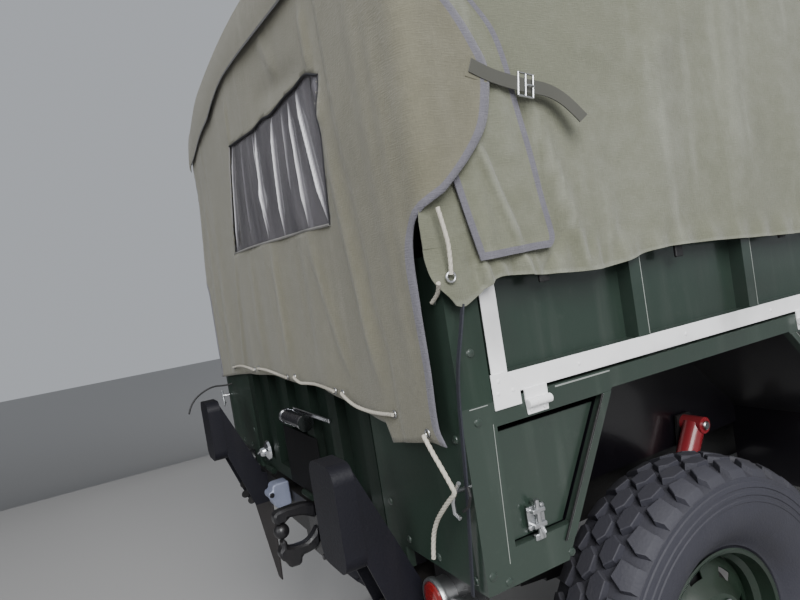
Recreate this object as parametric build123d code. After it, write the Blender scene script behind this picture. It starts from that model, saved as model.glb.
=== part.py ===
from build123d import *
import os
from math import asin, cos, degrees, pi, radians, sin

# A light four-wheel-drive army cargo truck with the cab over the front axle and a canvas tilt.
# All lengths are millimetres. +X points to the front, +Y to the truck's left and +Z up.
# The origin is on the ground, below the middle of the overall length and width.

# Layout along the truck
WHEELBASE = 2565.0
FRONT_OVERHANG = 690.0
REAR_OVERHANG = 872.0
BUFFER_REACH = 165.0
CAB_BACK_OFFSET = 773.0
CAB_FRONT_OFFSET = 617.0
CAB_GAP = 12.0
OVERALL_LENGTH = FRONT_OVERHANG + WHEELBASE + REAR_OVERHANG
FRONT_FACE = OVERALL_LENGTH / 2
REAR_AXLE_X = REAR_OVERHANG - OVERALL_LENGTH / 2
FRONT_AXLE_X = REAR_AXLE_X + WHEELBASE
BODY_REAR = BUFFER_REACH - OVERALL_LENGTH / 2
CAB_BACK = FRONT_AXLE_X - CAB_BACK_OFFSET
CAB_FRONT = FRONT_AXLE_X + CAB_FRONT_OFFSET
BED_FRONT = CAB_BACK - CAB_GAP

# Widths, measured from the middle plane
BODY_HALF = 921.0
CAB_HALF = BODY_HALF - 15.0
TRACK_FRONT = 1524.0
TRACK_REAR = 1549.0

# Wheels and tyres
TYRE_RADIUS = 446.0
TYRE_HALF_WIDTH = 118.0
TREAD_HALF_WIDTH = 96.0
LUG_DEPTH = 14.0
LUG_COUNT = 16
LUG_SHARE = 0.55
LUG_OVERHANG = 12.0
LUG_INNER = 8.0
LUG_SAG = 2.0
LUG_FOOT = 60.0
LUG_TAPER = 14.0
SHOULDER_HEIGHT = 82.0
BEAD_RADIUS = 217.0
RIM_RADIUS = 216.0
RIM_FLANGE_RADIUS = 226.0
RIM_HALF_WIDTH = 76.0
RIM_WALL = 8.0
DISC_OFFSET = 34.0
HUB_RADIUS = 74.0
HUB_REACH = 78.0
DRUM_RADIUS = 165.0
DRUM_REACH = 74.0
WHEEL_NUTS = 6
WHEEL_NUT_CIRCLE = 82.0
WHEEL_NUT_RADIUS = 13.0
AXLE_Z = TYRE_RADIUS
RUN_GAP = 6.0

# Chassis
RAIL_Y = 370.0
RAIL_WIDTH = 76.0
RAIL_BOTTOM = 640.0
RAIL_HEIGHT = 150.0
RAIL_WALL = 6.0
RAIL_TOP = RAIL_BOTTOM + RAIL_HEIGHT
TAIL_MEMBER_HALF = 700.0
TAIL_MEMBER_DEPTH = 80.0
TAIL_MEMBER_HEIGHT = 110.0
TAIL_MEMBER_INSET = 14.0
CROSS_TUBE_RADIUS = 38.0
# Distance of each cross tube from the rear axle, as a share of the wheelbase
CROSS_TUBES = (-0.18, 0.18, 0.40, 0.56)

# Axles and springs
AXLE_TUBE_RADIUS = 44.0
DIFF_RADIUS = 150.0
DIFF_HALF_WIDTH = 92.0
FRONT_DIFF_Y = 190.0
SPRING_Y = RAIL_Y
SPRING_WIDTH = 60.0
LEAF_THICKNESS = 10.0
LEAF_COUNT = 5
SPRING_HALF_LENGTH = 540.0
SPRING_CAMBER = 66.0
SPRING_SEAT = 14.0
KING_PIN_INSET = 122.0
SWIVEL_RADIUS = 92.0
STEER_ANGLE = 28.0

# Load bed
FLOOR_TOP = 905.0
FLOOR_THICKNESS = 28.0
BOX_INNER = 536.0
BOX_TOP = 1205.0
PLATE = 14.0
SKIN = 28.0
ARCH_PLATE = 16.0
HEADBOARD = 30.0
HEADBOARD_GAP = 4.0
BEARER_COUNT = 5
BEARER_PITCH = 540.0
RAIL_STRIP_BOTTOM = 1166.0
LOCKER_BOTTOM = 872.0
SIDE_TOP = 1480.0
CORNER_POST = 71.0
SIDE_THICKNESS = 44.0
SIDE_RECESS = 34.0
SIDE_BAR_HEIGHT = 39.0
SIDE_BAR_WIDTH = 36.0
SIDE_RIBS = 5
SIDE_RIB_WIDTH = 34.0
SIDE_CLEARANCE = 6.0
HINGE_RADIUS = 8.0
GATE_POST = 80.0
GATE_THICKNESS = 44.0
GATE_RECESS = 26.0
GATE_BOTTOM = 846.0
GATE_HINGE_DROP = 6.0
GATE_HINGE_RADIUS = 10.0
GATE_HINGE_Y = 400.0
GATE_RIBS = 4
GATE_RIB_WIDTH = 60.0
ARCH_REAR_TOP = 363.0
ARCH_REAR_LOW = 190.0
ARCH_FRONT_TOP = 985.0
ARCH_FRONT_LOW = 1270.0
SIDE_LOCKER_BOTTOM = 640.0

# Canvas
TILT_HALF = BODY_HALF + 15.0
TILT_TOP = 2240.0
TILT_EAVE = 2168.0
TILT_CORNER = 120.0
CANVAS = 6.0
SKIRT_TOP = 1490.0
SKIRT_BOTTOM = 1414.0
CURTAIN_BOTTOM = 1166.0
CURTAIN_STANDOFF = 22.0
HOOP_RADIUS = 14.0

# Cab
CAB_FLOOR = 1040.0
CAB_WAIST = 1430.0
CAB_BOTTOM = 720.0
CAB_SKIN = 20.0
ARCH_HALF_LENGTH = 556.0
ARCH_TOP = 1020.0
ARCH_INNER = 500.0
DOOR_REAR_OFFSET = 620.0
DOOR_FRONT_OFFSET = 262.0
DOOR_BACK = FRONT_AXLE_X - DOOR_REAR_OFFSET
DOOR_TOP = 1985.0
DOOR_BOTTOM = 1052.0
DOOR_THICKNESS = 38.0
DOOR_FRAME = 46.0
DOOR_GAP = 6.0
SCREEN_TOP = 2070.0
SCREEN_RAKE = 96.0
SCREEN_THICKNESS = 34.0
SCREEN_FRAME = 48.0
GLASS = 6.0


def block(x0, x1, y0, y1, z0, z1):
    """A rectangular plate or bar between two corners."""
    middle = Pos((x0 + x1) / 2, (y0 + y1) / 2, (z0 + z1) / 2)
    return middle * Box(abs(x1 - x0), abs(y1 - y0), abs(z1 - z0))


def side_profile(points, y0, y1):
    """A solid with the given (X, Z) outline, from y0 to y1."""
    plane = Plane(origin=(0, max(y0, y1), 0), x_dir=(1, 0, 0), z_dir=(0, -1, 0))
    return extrude(plane * Polygon(*points), abs(y1 - y0), dir=(0, -1, 0))


def end_profile(points, x0, x1):
    """A solid with the given (Y, Z) outline, from x0 to x1."""
    plane = Plane(origin=(min(x0, x1), 0, 0), x_dir=(0, 1, 0), z_dir=(1, 0, 0))
    return extrude(plane * Polygon(*points), abs(x1 - x0), dir=(1, 0, 0))


def plan_profile(points, z0, z1):
    """A solid with the given (X, Y) outline, from z0 to z1."""
    plane = Plane(origin=(0, 0, min(z0, z1)), x_dir=(1, 0, 0), z_dir=(0, 0, 1))
    return extrude(plane * Polygon(*points), abs(z1 - z0), dir=(0, 0, 1))


def rod(start, end, radius):
    """A round bar between two points."""
    first = Vector(*start)
    run = Vector(*end) - first
    base = Plane(origin=first, z_dir=run.normalized())
    return base * Cylinder(radius, run.length, align=(Align.CENTER, Align.CENTER, Align.MIN))


def pipe(start, end, radius, wall):
    """A round tube between two points."""
    first = Vector(*start)
    run = Vector(*end) - first
    base = Plane(origin=first, z_dir=run.normalized())
    outside = Cylinder(radius, run.length, align=(Align.CENTER, Align.CENTER, Align.MIN))
    bore = Cylinder(radius - wall, run.length, align=(Align.CENTER, Align.CENTER, Align.MIN))
    return base * (outside - bore)


def turned(points, place):
    """A body turned about an axle along Y, from its (radius, lateral) outline."""
    outline = Plane(origin=(0, 0, 0), x_dir=(1, 0, 0), z_dir=(0, 0, 1)) * Polygon(*points)
    return Pos(*place) * revolve(outline, Axis.Y)


def both(solid):
    """The same solid on the right and on the left."""
    return [solid, mirror(solid, about=Plane.XZ)]


def left_of(solid):
    """The left-hand copy of a right-hand solid."""
    return mirror(solid, about=Plane.XZ)


def keep(name, *solids):
    """Writes one sub-part as one file."""
    pieces = []
    for solid in solids:
        pieces.extend(solid.solids())
    export_step(Compound(children=pieces), "parts/" + name + ".step")


def faceted_ring(outline, sides):
    """A body turned about the Y axis in flats, from its (radius, lateral) outline, one flat facing down."""
    radius = outline[0][0]
    corner = radius / cos(pi / sides)
    start = (0, 0, radius)
    path = [start]
    for step in range(sides):
        angle = 2 * pi * (step + 0.5) / sides
        path.append((corner * sin(angle), 0, corner * cos(angle)))
    path.append(start)
    route = Polyline(*path)
    plane = Plane(origin=start, x_dir=(0, 0, 1), z_dir=(1, 0, 0))
    section = Polygon(*[(r - radius, lateral) for r, lateral in outline], align=None)
    return sweep(plane * section, route, transition=Transition.RIGHT)


def prism(start, end, radius, sides):
    """A straight bar with flat sides between two points."""
    first = Vector(*start)
    run = Vector(*end) - first
    base = Plane(origin=first, z_dir=run.normalized())
    return extrude(base * RegularPolygon(radius, sides), run.length, dir=run.normalized())


def tyre():
    """A cross-country tyre: flats round the carcass, and on them two staggered rows of shoulder lugs."""
    root = TYRE_RADIUS - LUG_DEPTH
    bead = RIM_HALF_WIDTH - RIM_WALL - 1
    # From the bead to the edge of the tread: distance from the axle, distance from the middle plane
    steps = [(BEAD_RADIUS, bead), (RIM_FLANGE_RADIUS + 3, bead), (root - SHOULDER_HEIGHT, TYRE_HALF_WIDTH),
             (root, TREAD_HALF_WIDTH - 10)]
    carcass = faceted_ring(steps + [(radius, -y) for radius, y in reversed(steps)], LUG_COUNT)
    half = root * sin(pi / LUG_COUNT) * LUG_SHARE
    outer = TREAD_HALF_WIDTH + LUG_OVERHANG
    lugs = []
    # Each row: how far round it is turned in pitches, side, height lost so that no corner stands proud
    for offset, side, loss in ((0.0, 1, 0.0), (0.5, -1, LUG_SAG)):
        top = TYRE_RADIUS - loss
        outline = [(side * LUG_INNER, root - 20), (side * LUG_INNER, top), (side * (outer - LUG_TAPER), top),
                   (side * outer, root - LUG_FOOT)]
        for step in range(LUG_COUNT):
            lug = end_profile(outline, -half, half)
            lugs.append(Rot(0, 360.0 / LUG_COUNT * (step + offset), 0) * lug)
    return carcass + lugs


def rim(outward, hub):
    """A steel wheel: rim, dished disc and, on a driven wheel, hub and brake drum.

    outward is +1 where the wheel's face looks towards +Y. hub is False on the spare.
    """
    flange = RIM_FLANGE_RADIUS
    seat = RIM_RADIUS
    half = RIM_HALF_WIDTH
    wall = RIM_WALL
    barrel = faceted_ring([
        (seat, -half + wall), (flange, -half + wall), (flange, -half), (seat - wall, -half),
        (seat - wall, half), (flange, half), (flange, half - wall), (seat, half - wall)], LUG_COUNT)
    disc = faceted_ring([
        (30, DISC_OFFSET), (HUB_RADIUS + 42, DISC_OFFSET), (seat - 46, DISC_OFFSET - 44), (seat - 4, DISC_OFFSET - 44),
        (seat - 4, DISC_OFFSET - 34), (seat - 50, DISC_OFFSET - 34), (HUB_RADIUS + 46, DISC_OFFSET + 10),
        (30, DISC_OFFSET + 10)], LUG_COUNT)
    wheel = barrel + disc
    for step in range(WHEEL_NUTS):
        angle = radians(360.0 / WHEEL_NUTS * step)
        x = WHEEL_NUT_CIRCLE * cos(angle)
        z = WHEEL_NUT_CIRCLE * sin(angle)
        if hub:
            wheel += prism((x, DISC_OFFSET + 4, z), (x, DISC_OFFSET + 30, z), WHEEL_NUT_RADIUS, 6)
        else:
            wheel -= prism((x, DISC_OFFSET - 4, z), (x, DISC_OFFSET + 14, z), WHEEL_NUT_RADIUS - 4, 6)
    if hub:
        wheel += prism((0, -DRUM_REACH, 0), (0, DISC_OFFSET + HUB_REACH, 0), HUB_RADIUS - 16, 12)
        wheel += prism((0, -DRUM_REACH, 0), (0, DISC_OFFSET - 46, 0), DRUM_RADIUS, 24)
    if outward < 0:
        wheel = mirror(wheel, about=Plane.XZ)
    return wheel


def chassis_frame():
    """Two box rails, tubular cross members, a deep tail member and the carriers that stand out of them."""
    front_end = FRONT_FACE - BUMPER_DEPTH
    tail = BODY_REAR + TAIL_MEMBER_INSET
    rail = block(tail + TAIL_MEMBER_DEPTH, front_end, -RAIL_Y - RAIL_WIDTH / 2, -RAIL_Y + RAIL_WIDTH / 2,
                 RAIL_BOTTOM, RAIL_TOP)
    frame = Part() + both(rail)
    frame += block(tail, tail + TAIL_MEMBER_DEPTH, -TAIL_MEMBER_HALF, TAIL_MEMBER_HALF,
                   RAIL_TOP - TAIL_MEMBER_HEIGHT, RAIL_TOP)
    frame += block(tail, tail + 40, -150, 150, RAIL_BOTTOM, RAIL_TOP)
    for share in CROSS_TUBES:
        x = REAR_AXLE_X + share * WHEELBASE
        frame += rod((x, -RAIL_Y, RAIL_BOTTOM + 62), (x, RAIL_Y, RAIL_BOTTOM + 62), CROSS_TUBE_RADIUS)
    frame += block(front_end - 60, front_end, -RAIL_Y, RAIL_Y, RAIL_BOTTOM + 20, RAIL_TOP - 20)
    # Spring hangers hang from the rails at both ends of each spring
    for axle_x in (REAR_AXLE_X, FRONT_AXLE_X):
        for side in (-1, 1):
            for end in (-1, 1):
                x = axle_x + end * (SPRING_HALF_LENGTH + EYE_RADIUS)
                for cheek in (-1, 1):
                    y = side * SPRING_Y + cheek * (SPRING_WIDTH / 2 + 5)
                    frame += block(x - 26, x + 26, y - 3.5, y + 3.5, EYE_Z - 24, RAIL_BOTTOM + 4)
    # Shock absorber towers stand out from the rails
    for axle_x, lean, shock_y, top in SHOCKS:
        x = axle_x + lean
        for side in (-1, 1):
            inner = side * (RAIL_Y + RAIL_WIDTH / 2 - 4)
            outer = side * (shock_y - SHOCK_EYE)
            frame += side_profile([(x - 60, RAIL_BOTTOM + 20), (x + 60, RAIL_BOTTOM + 20), (x + 30, top + 26),
                                   (x - 30, top + 26)], outer, outer - side * 8)
            frame += block(x - 40, x + 40, inner, outer, RAIL_BOTTOM + 20, RAIL_BOTTOM + 60)
    # Carrier for the spare wheel on the left rail
    x = SPARE_X
    frame += rod((x, RAIL_Y + RAIL_WIDTH / 2 - 4, RAIL_BOTTOM + 75), (x, SPARE_Y - RIM_HALF_WIDTH - 8, RAIL_BOTTOM + 75), 30)
    frame += rod((x, SPARE_Y - RIM_HALF_WIDTH - 8, SPARE_Z), (x, SPARE_Y - RIM_HALF_WIDTH - 2, SPARE_Z), 110)
    return frame


def axle_housing(axle_x, diff_y, half_length, shock_y, towards):
    """A tubular axle with its differential, pinion nose, spring pads and shock absorber brackets.

    towards is +1 where the pinion and the shock absorbers are on the front side of the axle.
    """
    tube = rod((axle_x, -half_length, AXLE_Z), (axle_x, half_length, AXLE_Z), AXLE_TUBE_RADIUS)
    bowl = turned([(0, -DIFF_HALF_WIDTH), (DIFF_RADIUS - 50, -DIFF_HALF_WIDTH), (DIFF_RADIUS, -30), (DIFF_RADIUS, 30),
                   (DIFF_RADIUS - 50, DIFF_HALF_WIDTH), (0, DIFF_HALF_WIDTH)], (axle_x, diff_y, AXLE_Z))
    housing = tube + bowl
    for side in (-1, 1):
        y = side * SPRING_Y
        housing += block(axle_x - 60, axle_x + 60, y - SPRING_WIDTH / 2, y + SPRING_WIDTH / 2, AXLE_Z, SPRING_SEAT_Z)
        plate = side * (shock_y - SHOCK_EYE)
        housing += block(axle_x, axle_x + towards * (SHOCK_FOOT + 26), plate, plate - side * 8, AXLE_Z, AXLE_Z + SHOCK_FOOT + 26)
    housing += rod((axle_x, diff_y, AXLE_Z), (axle_x + towards * PINION_REACH, diff_y, AXLE_Z), 46)
    return housing


def leaf_pack(axle_x, y):
    """Five curved leaves, each shorter than the one above it, with an eye rolled at both ends."""
    radius = (SPRING_HALF_LENGTH ** 2 + SPRING_CAMBER ** 2) / (2 * SPRING_CAMBER)
    top_z = SPRING_SEAT_Z + LEAF_COUNT * LEAF_THICKNESS
    centre = top_z + radius
    pack = Part()
    for step in range(LEAF_COUNT):
        reach = SPRING_HALF_LENGTH * (1.0 - 0.17 * step)
        upper = radius + step * LEAF_THICKNESS
        lower = upper + LEAF_THICKNESS
        spread = degrees(asin(reach / radius))
        outline = make_face(Wire([
            CenterArc((axle_x, centre), upper, 270 - spread, 2 * spread),
            Line((axle_x + upper * sin(radians(spread)), centre - upper * cos(radians(spread))),
                 (axle_x + lower * sin(radians(spread)), centre - lower * cos(radians(spread)))),
            CenterArc((axle_x, centre), lower, 270 - spread, 2 * spread),
            Line((axle_x - lower * sin(radians(spread)), centre - lower * cos(radians(spread))),
                 (axle_x - upper * sin(radians(spread)), centre - upper * cos(radians(spread)))),
        ]))
        plane = Plane(origin=(0, y + SPRING_WIDTH / 2, 0), x_dir=(1, 0, 0), z_dir=(0, -1, 0))
        pack += extrude(plane * outline, SPRING_WIDTH, dir=(0, -1, 0))
    pack &= block(axle_x - 700, axle_x + 700, y - SPRING_WIDTH, y + SPRING_WIDTH, SPRING_SEAT_Z, SPRING_SEAT_Z + 400)
    for end in (-1, 1):
        x = axle_x + end * (SPRING_HALF_LENGTH + EYE_RADIUS)
        eye = rod((x, y - SPRING_WIDTH / 2, EYE_Z), (x, y + SPRING_WIDTH / 2, EYE_Z), EYE_RADIUS)
        pack += eye
    return pack


PINION_REACH = 210.0
SPRING_SEAT_Z = AXLE_Z + AXLE_TUBE_RADIUS + SPRING_SEAT
EYE_RADIUS = 18.0
EYE_Z = SPRING_SEAT_Z + LEAF_COUNT * LEAF_THICKNESS + SPRING_CAMBER - 4.0
# Shock absorbers: axle position, lean of the top, distance from the middle, height of the top eye
SHOCKS = ((REAR_AXLE_X, 300.0, TRACK_REAR / 2 - 176.5, 884.0), (FRONT_AXLE_X, -150.0, TRACK_FRONT / 2 - 300.0, 760.0))
SHOCK_EYE = 34.0
SHOCK_FOOT = 60.0
SHOCK_RADIUS = 31.0
SPARE_X = -15.0
SPARE_Z = 690.0
SPARE_Y = BODY_HALF - 18.0 - TYRE_HALF_WIDTH
BUMPER_DEPTH = 70.0
BUMPER_BOTTOM = 560.0
BUMPER_HEIGHT = 200.0
BUMPER_HALF = 880.0


def shock_absorber(axle_x, lean, shock_y, top, side):
    """A tubular damper from the axle up to its tower."""
    y = side * shock_y
    foot = SHOCK_FOOT if lean > 0 else -SHOCK_FOOT
    low = (axle_x + foot, y, AXLE_Z + SHOCK_FOOT)
    high = (axle_x + lean, y, top)
    middle = tuple((a + b) / 2 for a, b in zip(low, high))
    body = rod(middle, high, SHOCK_RADIUS) + rod(low, middle, SHOCK_RADIUS - 8)
    for x, _, z in (low, high):
        body += rod((x, y - SHOCK_EYE, z), (x, y + SHOCK_EYE, z), 24)
    return body


def knuckle():
    """The right-hand swivel housing with its steering arm."""
    king_y = -(TRACK_FRONT / 2 - KING_PIN_INSET)
    x = FRONT_AXLE_X
    housing = rod((x, king_y, AXLE_Z - 104), (x, king_y, AXLE_Z - 62), 40)
    housing += rod((x, king_y, AXLE_Z + 62), (x, king_y, AXLE_Z + 104), 40)
    housing += block(x - 40, x + 40, king_y - 40, king_y - 26, AXLE_Z - 104, AXLE_Z + 104)
    drum_back = -(TRACK_FRONT / 2 - DRUM_REACH) + RUN_GAP
    housing += rod((x, king_y - 30, AXLE_Z), (x, drum_back, AXLE_Z), 60)
    housing += block(x - 190, x, king_y - 20, king_y + 14, AXLE_Z - 104, AXLE_Z - 82)
    return housing


def front_bumper():
    """A deep pressed channel with a step hole near each end and four holes for a fitting in the middle."""
    front = FRONT_FACE
    back = FRONT_FACE - BUMPER_DEPTH
    top = BUMPER_BOTTOM + BUMPER_HEIGHT
    face = end_profile([(-BUMPER_HALF, BUMPER_BOTTOM + 30), (-BUMPER_HALF + 60, BUMPER_BOTTOM),
                        (BUMPER_HALF - 60, BUMPER_BOTTOM), (BUMPER_HALF, BUMPER_BOTTOM + 30),
                        (BUMPER_HALF, top), (-BUMPER_HALF, top)], front - 8, front)
    beam = face + block(back, front - 8, -BUMPER_HALF + 10, BUMPER_HALF - 10, top - 8, top)
    beam += block(back, front - 8, -BUMPER_HALF + 70, BUMPER_HALF - 70, BUMPER_BOTTOM, BUMPER_BOTTOM + 8)
    beam += block(back, back + 8, -RAIL_Y - 90, RAIL_Y + 90, BUMPER_BOTTOM, top)
    for side in (-1, 1):
        y = side * STEP_HOLE_Y
        z = BUMPER_BOTTOM + BUMPER_HEIGHT / 2
        beam -= block(front - 20, front + 20, y - 70, y + 70, z - 28, z + 28)
        for height in (-FITTING_HOLE_RISE, FITTING_HOLE_RISE):
            beam -= rod((front - 20, side * FITTING_HOLE_Y, z + height), (front + 10, side * FITTING_HOLE_Y, z + height),
                        FITTING_HOLE_RADIUS)
    for side in (-1, 1):
        y = side * RAIL_Y
        lug = side_profile([(back + 2, top), (front - 6, top), (front - 6, top + 34), (front - 22, top + 52),
                            (back + 20, top + 52), (back + 2, top + 34)], y - TOW_EYE_PLATE / 2, y + TOW_EYE_PLATE / 2)
        lug -= rod((TOW_EYE_X, y - 30, top + TOW_EYE_RISE), (TOW_EYE_X, y + 30, top + TOW_EYE_RISE), TOW_EYE_RADIUS)
        beam += lug
    return beam


STEP_HOLE_Y = 690.0
FITTING_HOLE_Y = 120.0
FITTING_HOLE_RISE = 50.0
FITTING_HOLE_RADIUS = 9.0
TOW_EYE_PLATE = 20.0
TOW_EYE_RISE = 24.0
TOW_EYE_RADIUS = 13.0
TOW_EYE_X = FRONT_FACE - BUMPER_DEPTH / 2


def rear_buffer():
    """The right-hand rear buffer: an upright rounded pad on a plate arm that rises from the tail member."""
    back = BODY_REAR - BUFFER_REACH
    y0 = -BUFFER_Y - BUFFER_WIDTH / 2
    y1 = -BUFFER_Y + BUFFER_WIDTH / 2
    pad = block(back, back + BUFFER_DEPTH, y0, y1, BUFFER_TOP - BUFFER_HEIGHT, BUFFER_TOP)
    edges = pad.edges().filter_by(Axis.X)
    pad = fillet(edges, BUFFER_CORNER)
    foot = BODY_REAR + TAIL_MEMBER_INSET
    low = RAIL_TOP - TAIL_MEMBER_HEIGHT
    arm_line = [(back + BUFFER_DEPTH, BUFFER_TOP - 16), (BODY_REAR - RUN_GAP, RAIL_TOP + 30),
                (BODY_REAR - RUN_GAP, RAIL_TOP + 6), (foot, RAIL_TOP), (foot, low),
                (foot - 60, low), (back + BUFFER_DEPTH, BUFFER_TOP - BUFFER_HEIGHT + 10)]
    arm = Part()
    for y in (y0 + 4, y1 - 12):
        arm += side_profile(arm_line, y, y + 8)
    arm += block(foot - 8, foot, y0 + 4, y1 - 4, low, RAIL_TOP)
    return pad + arm


BUFFER_Y = 614.0
BUFFER_WIDTH = 135.0
BUFFER_TOP = 1100.0
BUFFER_HEIGHT = 220.0
BUFFER_DEPTH = 46.0
BUFFER_CORNER = 34.0
PINTLE_Z = 716.0


def tow_pintle():
    """A towing hook on a square plate: a fixed lower jaw and a latch that closes over it."""
    back = BODY_REAR + TAIL_MEMBER_INSET
    z = PINTLE_Z
    hook = block(back - 12, back, -70, 70, z - 72, z + 72)
    hook += rod((back - 12, 0, z), (back - 44, 0, z), 34)
    jaw = side_profile([(back - 40, z - 34), (back - 40, z + 34), (back - 58, z + 40), (back - 84, z + 8),
                        (back - 84, z - 6), (back - 96, z - 14), (back - 112, z - 2), (back - 112, z + 32),
                        (back - 122, z + 36), (back - 128, z - 8), (back - 112, z - 40), (back - 78, z - 52)], -20, 20)
    hook += jaw
    latch = side_profile([(back - 52, z + 38), (back - 66, z + 58), (back - 112, z + 54), (back - 122, z + 42),
                          (back - 104, z + 40), (back - 74, z + 42)], -12, 12)
    hook += latch
    return hook


LOCKER_DOOR_THICKNESS = 14.0
LOCKER_DOOR_RECESS = 14.0
LOCKER_DOOR_GAP = 5.0
LOCKER_HINGE_GAP = 14.0
LOCKER_SLANT_GAP = 14.0
LOCKER_HINGE_DROP = 10.0
LOCKER_HINGE_RADIUS = 5.0


def locker_outline(gap, slant_gap, hinge_gap):
    """(X, Z) corners of a corner locker's door, grown by the gaps round it where its opening is wanted."""
    slope = (ARCH_REAR_TOP - ARCH_REAR_LOW) / (RAIL_STRIP_BOTTOM - LOCKER_BOTTOM)
    left = BODY_REAR + CORNER_POST + 6 - gap
    low = LOCKER_BOTTOM + 72 - gap
    high = RAIL_STRIP_BOTTOM - 20 + hinge_gap
    corners = []
    for z in (low, high):
        corners.append((BODY_REAR + ARCH_REAR_LOW + slope * (z - LOCKER_BOTTOM) - 34 + slant_gap, z))
    return [(left, low), corners[0], corners[1], (left, high)]


def bed_floor():
    """The floor on two long bearers and five cross bearers."""
    back = BODY_REAR + GATE_THICKNESS + 8
    bed = Part() + block(back, BED_FRONT, -BOX_INNER, BOX_INNER, FLOOR_TOP - FLOOR_THICKNESS, FLOOR_TOP)
    for side in (-1, 1):
        y = side * RAIL_Y
        bed += block(back, BED_FRONT, y - 34, y + 34, RAIL_TOP, FLOOR_TOP - FLOOR_THICKNESS)
    for step in range(BEARER_COUNT):
        x = BODY_REAR + 130 + step * BEARER_PITCH
        bed += block(x, x + 60, -BOX_INNER, BOX_INNER, RAIL_TOP + 30, FLOOR_TOP - FLOOR_THICKNESS)
    return bed


def headboard():
    """The board across the front of the bed, bolted to the side boxes' lids, with the front corner posts."""
    x = BED_FRONT - HEADBOARD
    board = block(x, BED_FRONT, -BOX_INNER, BOX_INNER, FLOOR_TOP + HEADBOARD_GAP, BOX_TOP)
    board += block(x, BED_FRONT, -BODY_HALF, BODY_HALF, BOX_TOP, SIDE_TOP)
    for side in (-1, 1):
        y_out = side * BODY_HALF
        board += block(BED_FRONT - CORNER_POST, BED_FRONT, y_out - side * SIDE_THICKNESS, y_out, BOX_TOP, SIDE_TOP)
    return board


def rear_post(side):
    """The body's rear corner: the plate beside the tailgate, the gate post and, above the box, the corner post."""
    y_out = side * BODY_HALF
    post = block(BODY_REAR, BODY_REAR + PLATE, side * GATE_EDGE, y_out - side * SKIN, LOCKER_BOTTOM, SIDE_TOP)
    post += block(BODY_REAR, BODY_REAR + GATE_THICKNESS, side * GATE_EDGE, side * (GATE_EDGE + GATE_POST),
                  RAIL_TOP + 30, SIDE_TOP)
    post += block(BODY_REAR, BODY_REAR + CORNER_POST, y_out - side * SIDE_THICKNESS, y_out, BOX_TOP, SIDE_TOP)
    return post


def arch_corners():
    """(X, Z) corners of the opening over the rear wheel, from its rear foot round to its front foot."""
    return [(BODY_REAR + ARCH_REAR_LOW, LOCKER_BOTTOM), (BODY_REAR + ARCH_REAR_TOP, RAIL_STRIP_BOTTOM),
            (BODY_REAR + ARCH_FRONT_TOP, RAIL_STRIP_BOTTOM), (BODY_REAR + ARCH_FRONT_LOW, LOCKER_BOTTOM)]


def side_box(side):
    """One side box: inner wall, lid plate, outer rail, the corner locker and the walls of the wheel arch."""
    y_in = side * BOX_INNER
    y_out = side * BODY_HALF
    arch = arch_corners()
    box = block(BODY_REAR + GATE_THICKNESS, BED_FRONT, y_in, y_in + side * PLATE, RAIL_TOP + 30, BOX_TOP)
    box += block(BODY_REAR + PLATE, BED_FRONT, y_in, y_out, BOX_TOP - PLATE, BOX_TOP)
    box += block(BODY_REAR, BED_FRONT, y_out - side * SKIN, y_out, RAIL_STRIP_BOTTOM, BOX_TOP)
    # Corner locker: its floor and its outer skin
    box += block(BODY_REAR, arch[0][0], y_in, y_out, LOCKER_BOTTOM, LOCKER_BOTTOM + PLATE)
    box += side_profile([(BODY_REAR, LOCKER_BOTTOM), arch[0], arch[1], (BODY_REAR, RAIL_STRIP_BOTTOM)],
                        y_out - side * SKIN, y_out)
    # Sloping walls over the wheel: foot, top, which way the plate's thickness goes
    for foot, top, way in ((arch[0], arch[1], -1), (arch[3], arch[2], 1)):
        rise = (top[0], BOX_TOP - PLATE)
        box += side_profile([foot, top, rise, (rise[0] + way * ARCH_PLATE, rise[1]), (top[0] + way * ARCH_PLATE, top[1]),
                             (foot[0] + way * ARCH_PLATE, foot[1])], y_in, y_out)
    box -= locker_door_cut(side)
    return box - rear_post(side)


GATE_CLEARANCE = 6.0
GATE_EDGE = BOX_INNER
GATE_HALF = GATE_EDGE - GATE_CLEARANCE


def side_locker():
    """The long locker below the right-hand side box, between the wheel arch and the cab."""
    y_in = -BOX_INNER
    y_out = -BODY_HALF
    arch = arch_corners()
    x0 = arch[3][0]
    skin = side_profile([(x0, SIDE_LOCKER_BOTTOM), (BED_FRONT, SIDE_LOCKER_BOTTOM), (BED_FRONT, RAIL_STRIP_BOTTOM),
                         (arch[2][0] + ARCH_PLATE, RAIL_STRIP_BOTTOM), (x0 + ARCH_PLATE, LOCKER_BOTTOM),
                         (x0, LOCKER_BOTTOM)], y_out, y_out + SKIN)
    shell = skin - side_locker_cut()
    shell += block(x0, BED_FRONT, y_in, y_out, SIDE_LOCKER_BOTTOM, SIDE_LOCKER_BOTTOM + PLATE)
    shell += block(x0, x0 + ARCH_PLATE, y_in - PLATE, y_out, SIDE_LOCKER_BOTTOM, LOCKER_BOTTOM)
    shell += block(BED_FRONT - ARCH_PLATE, BED_FRONT, y_in - PLATE, y_out, SIDE_LOCKER_BOTTOM, BOX_TOP - PLATE)
    shell += block(x0, BED_FRONT, y_in - PLATE, y_in, SIDE_LOCKER_BOTTOM, RAIL_TOP + 30)
    return shell - block(x0 - 5, BED_FRONT + 5, y_out - 5, y_out + SKIN, RAIL_STRIP_BOTTOM, BOX_TOP)


SIDE_DOOR_REAR = 60.0
SIDE_DOOR_FRONT = 60.0
SIDE_DOOR_LOW = 700.0
SIDE_DOOR_HIGH = 1140.0


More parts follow.
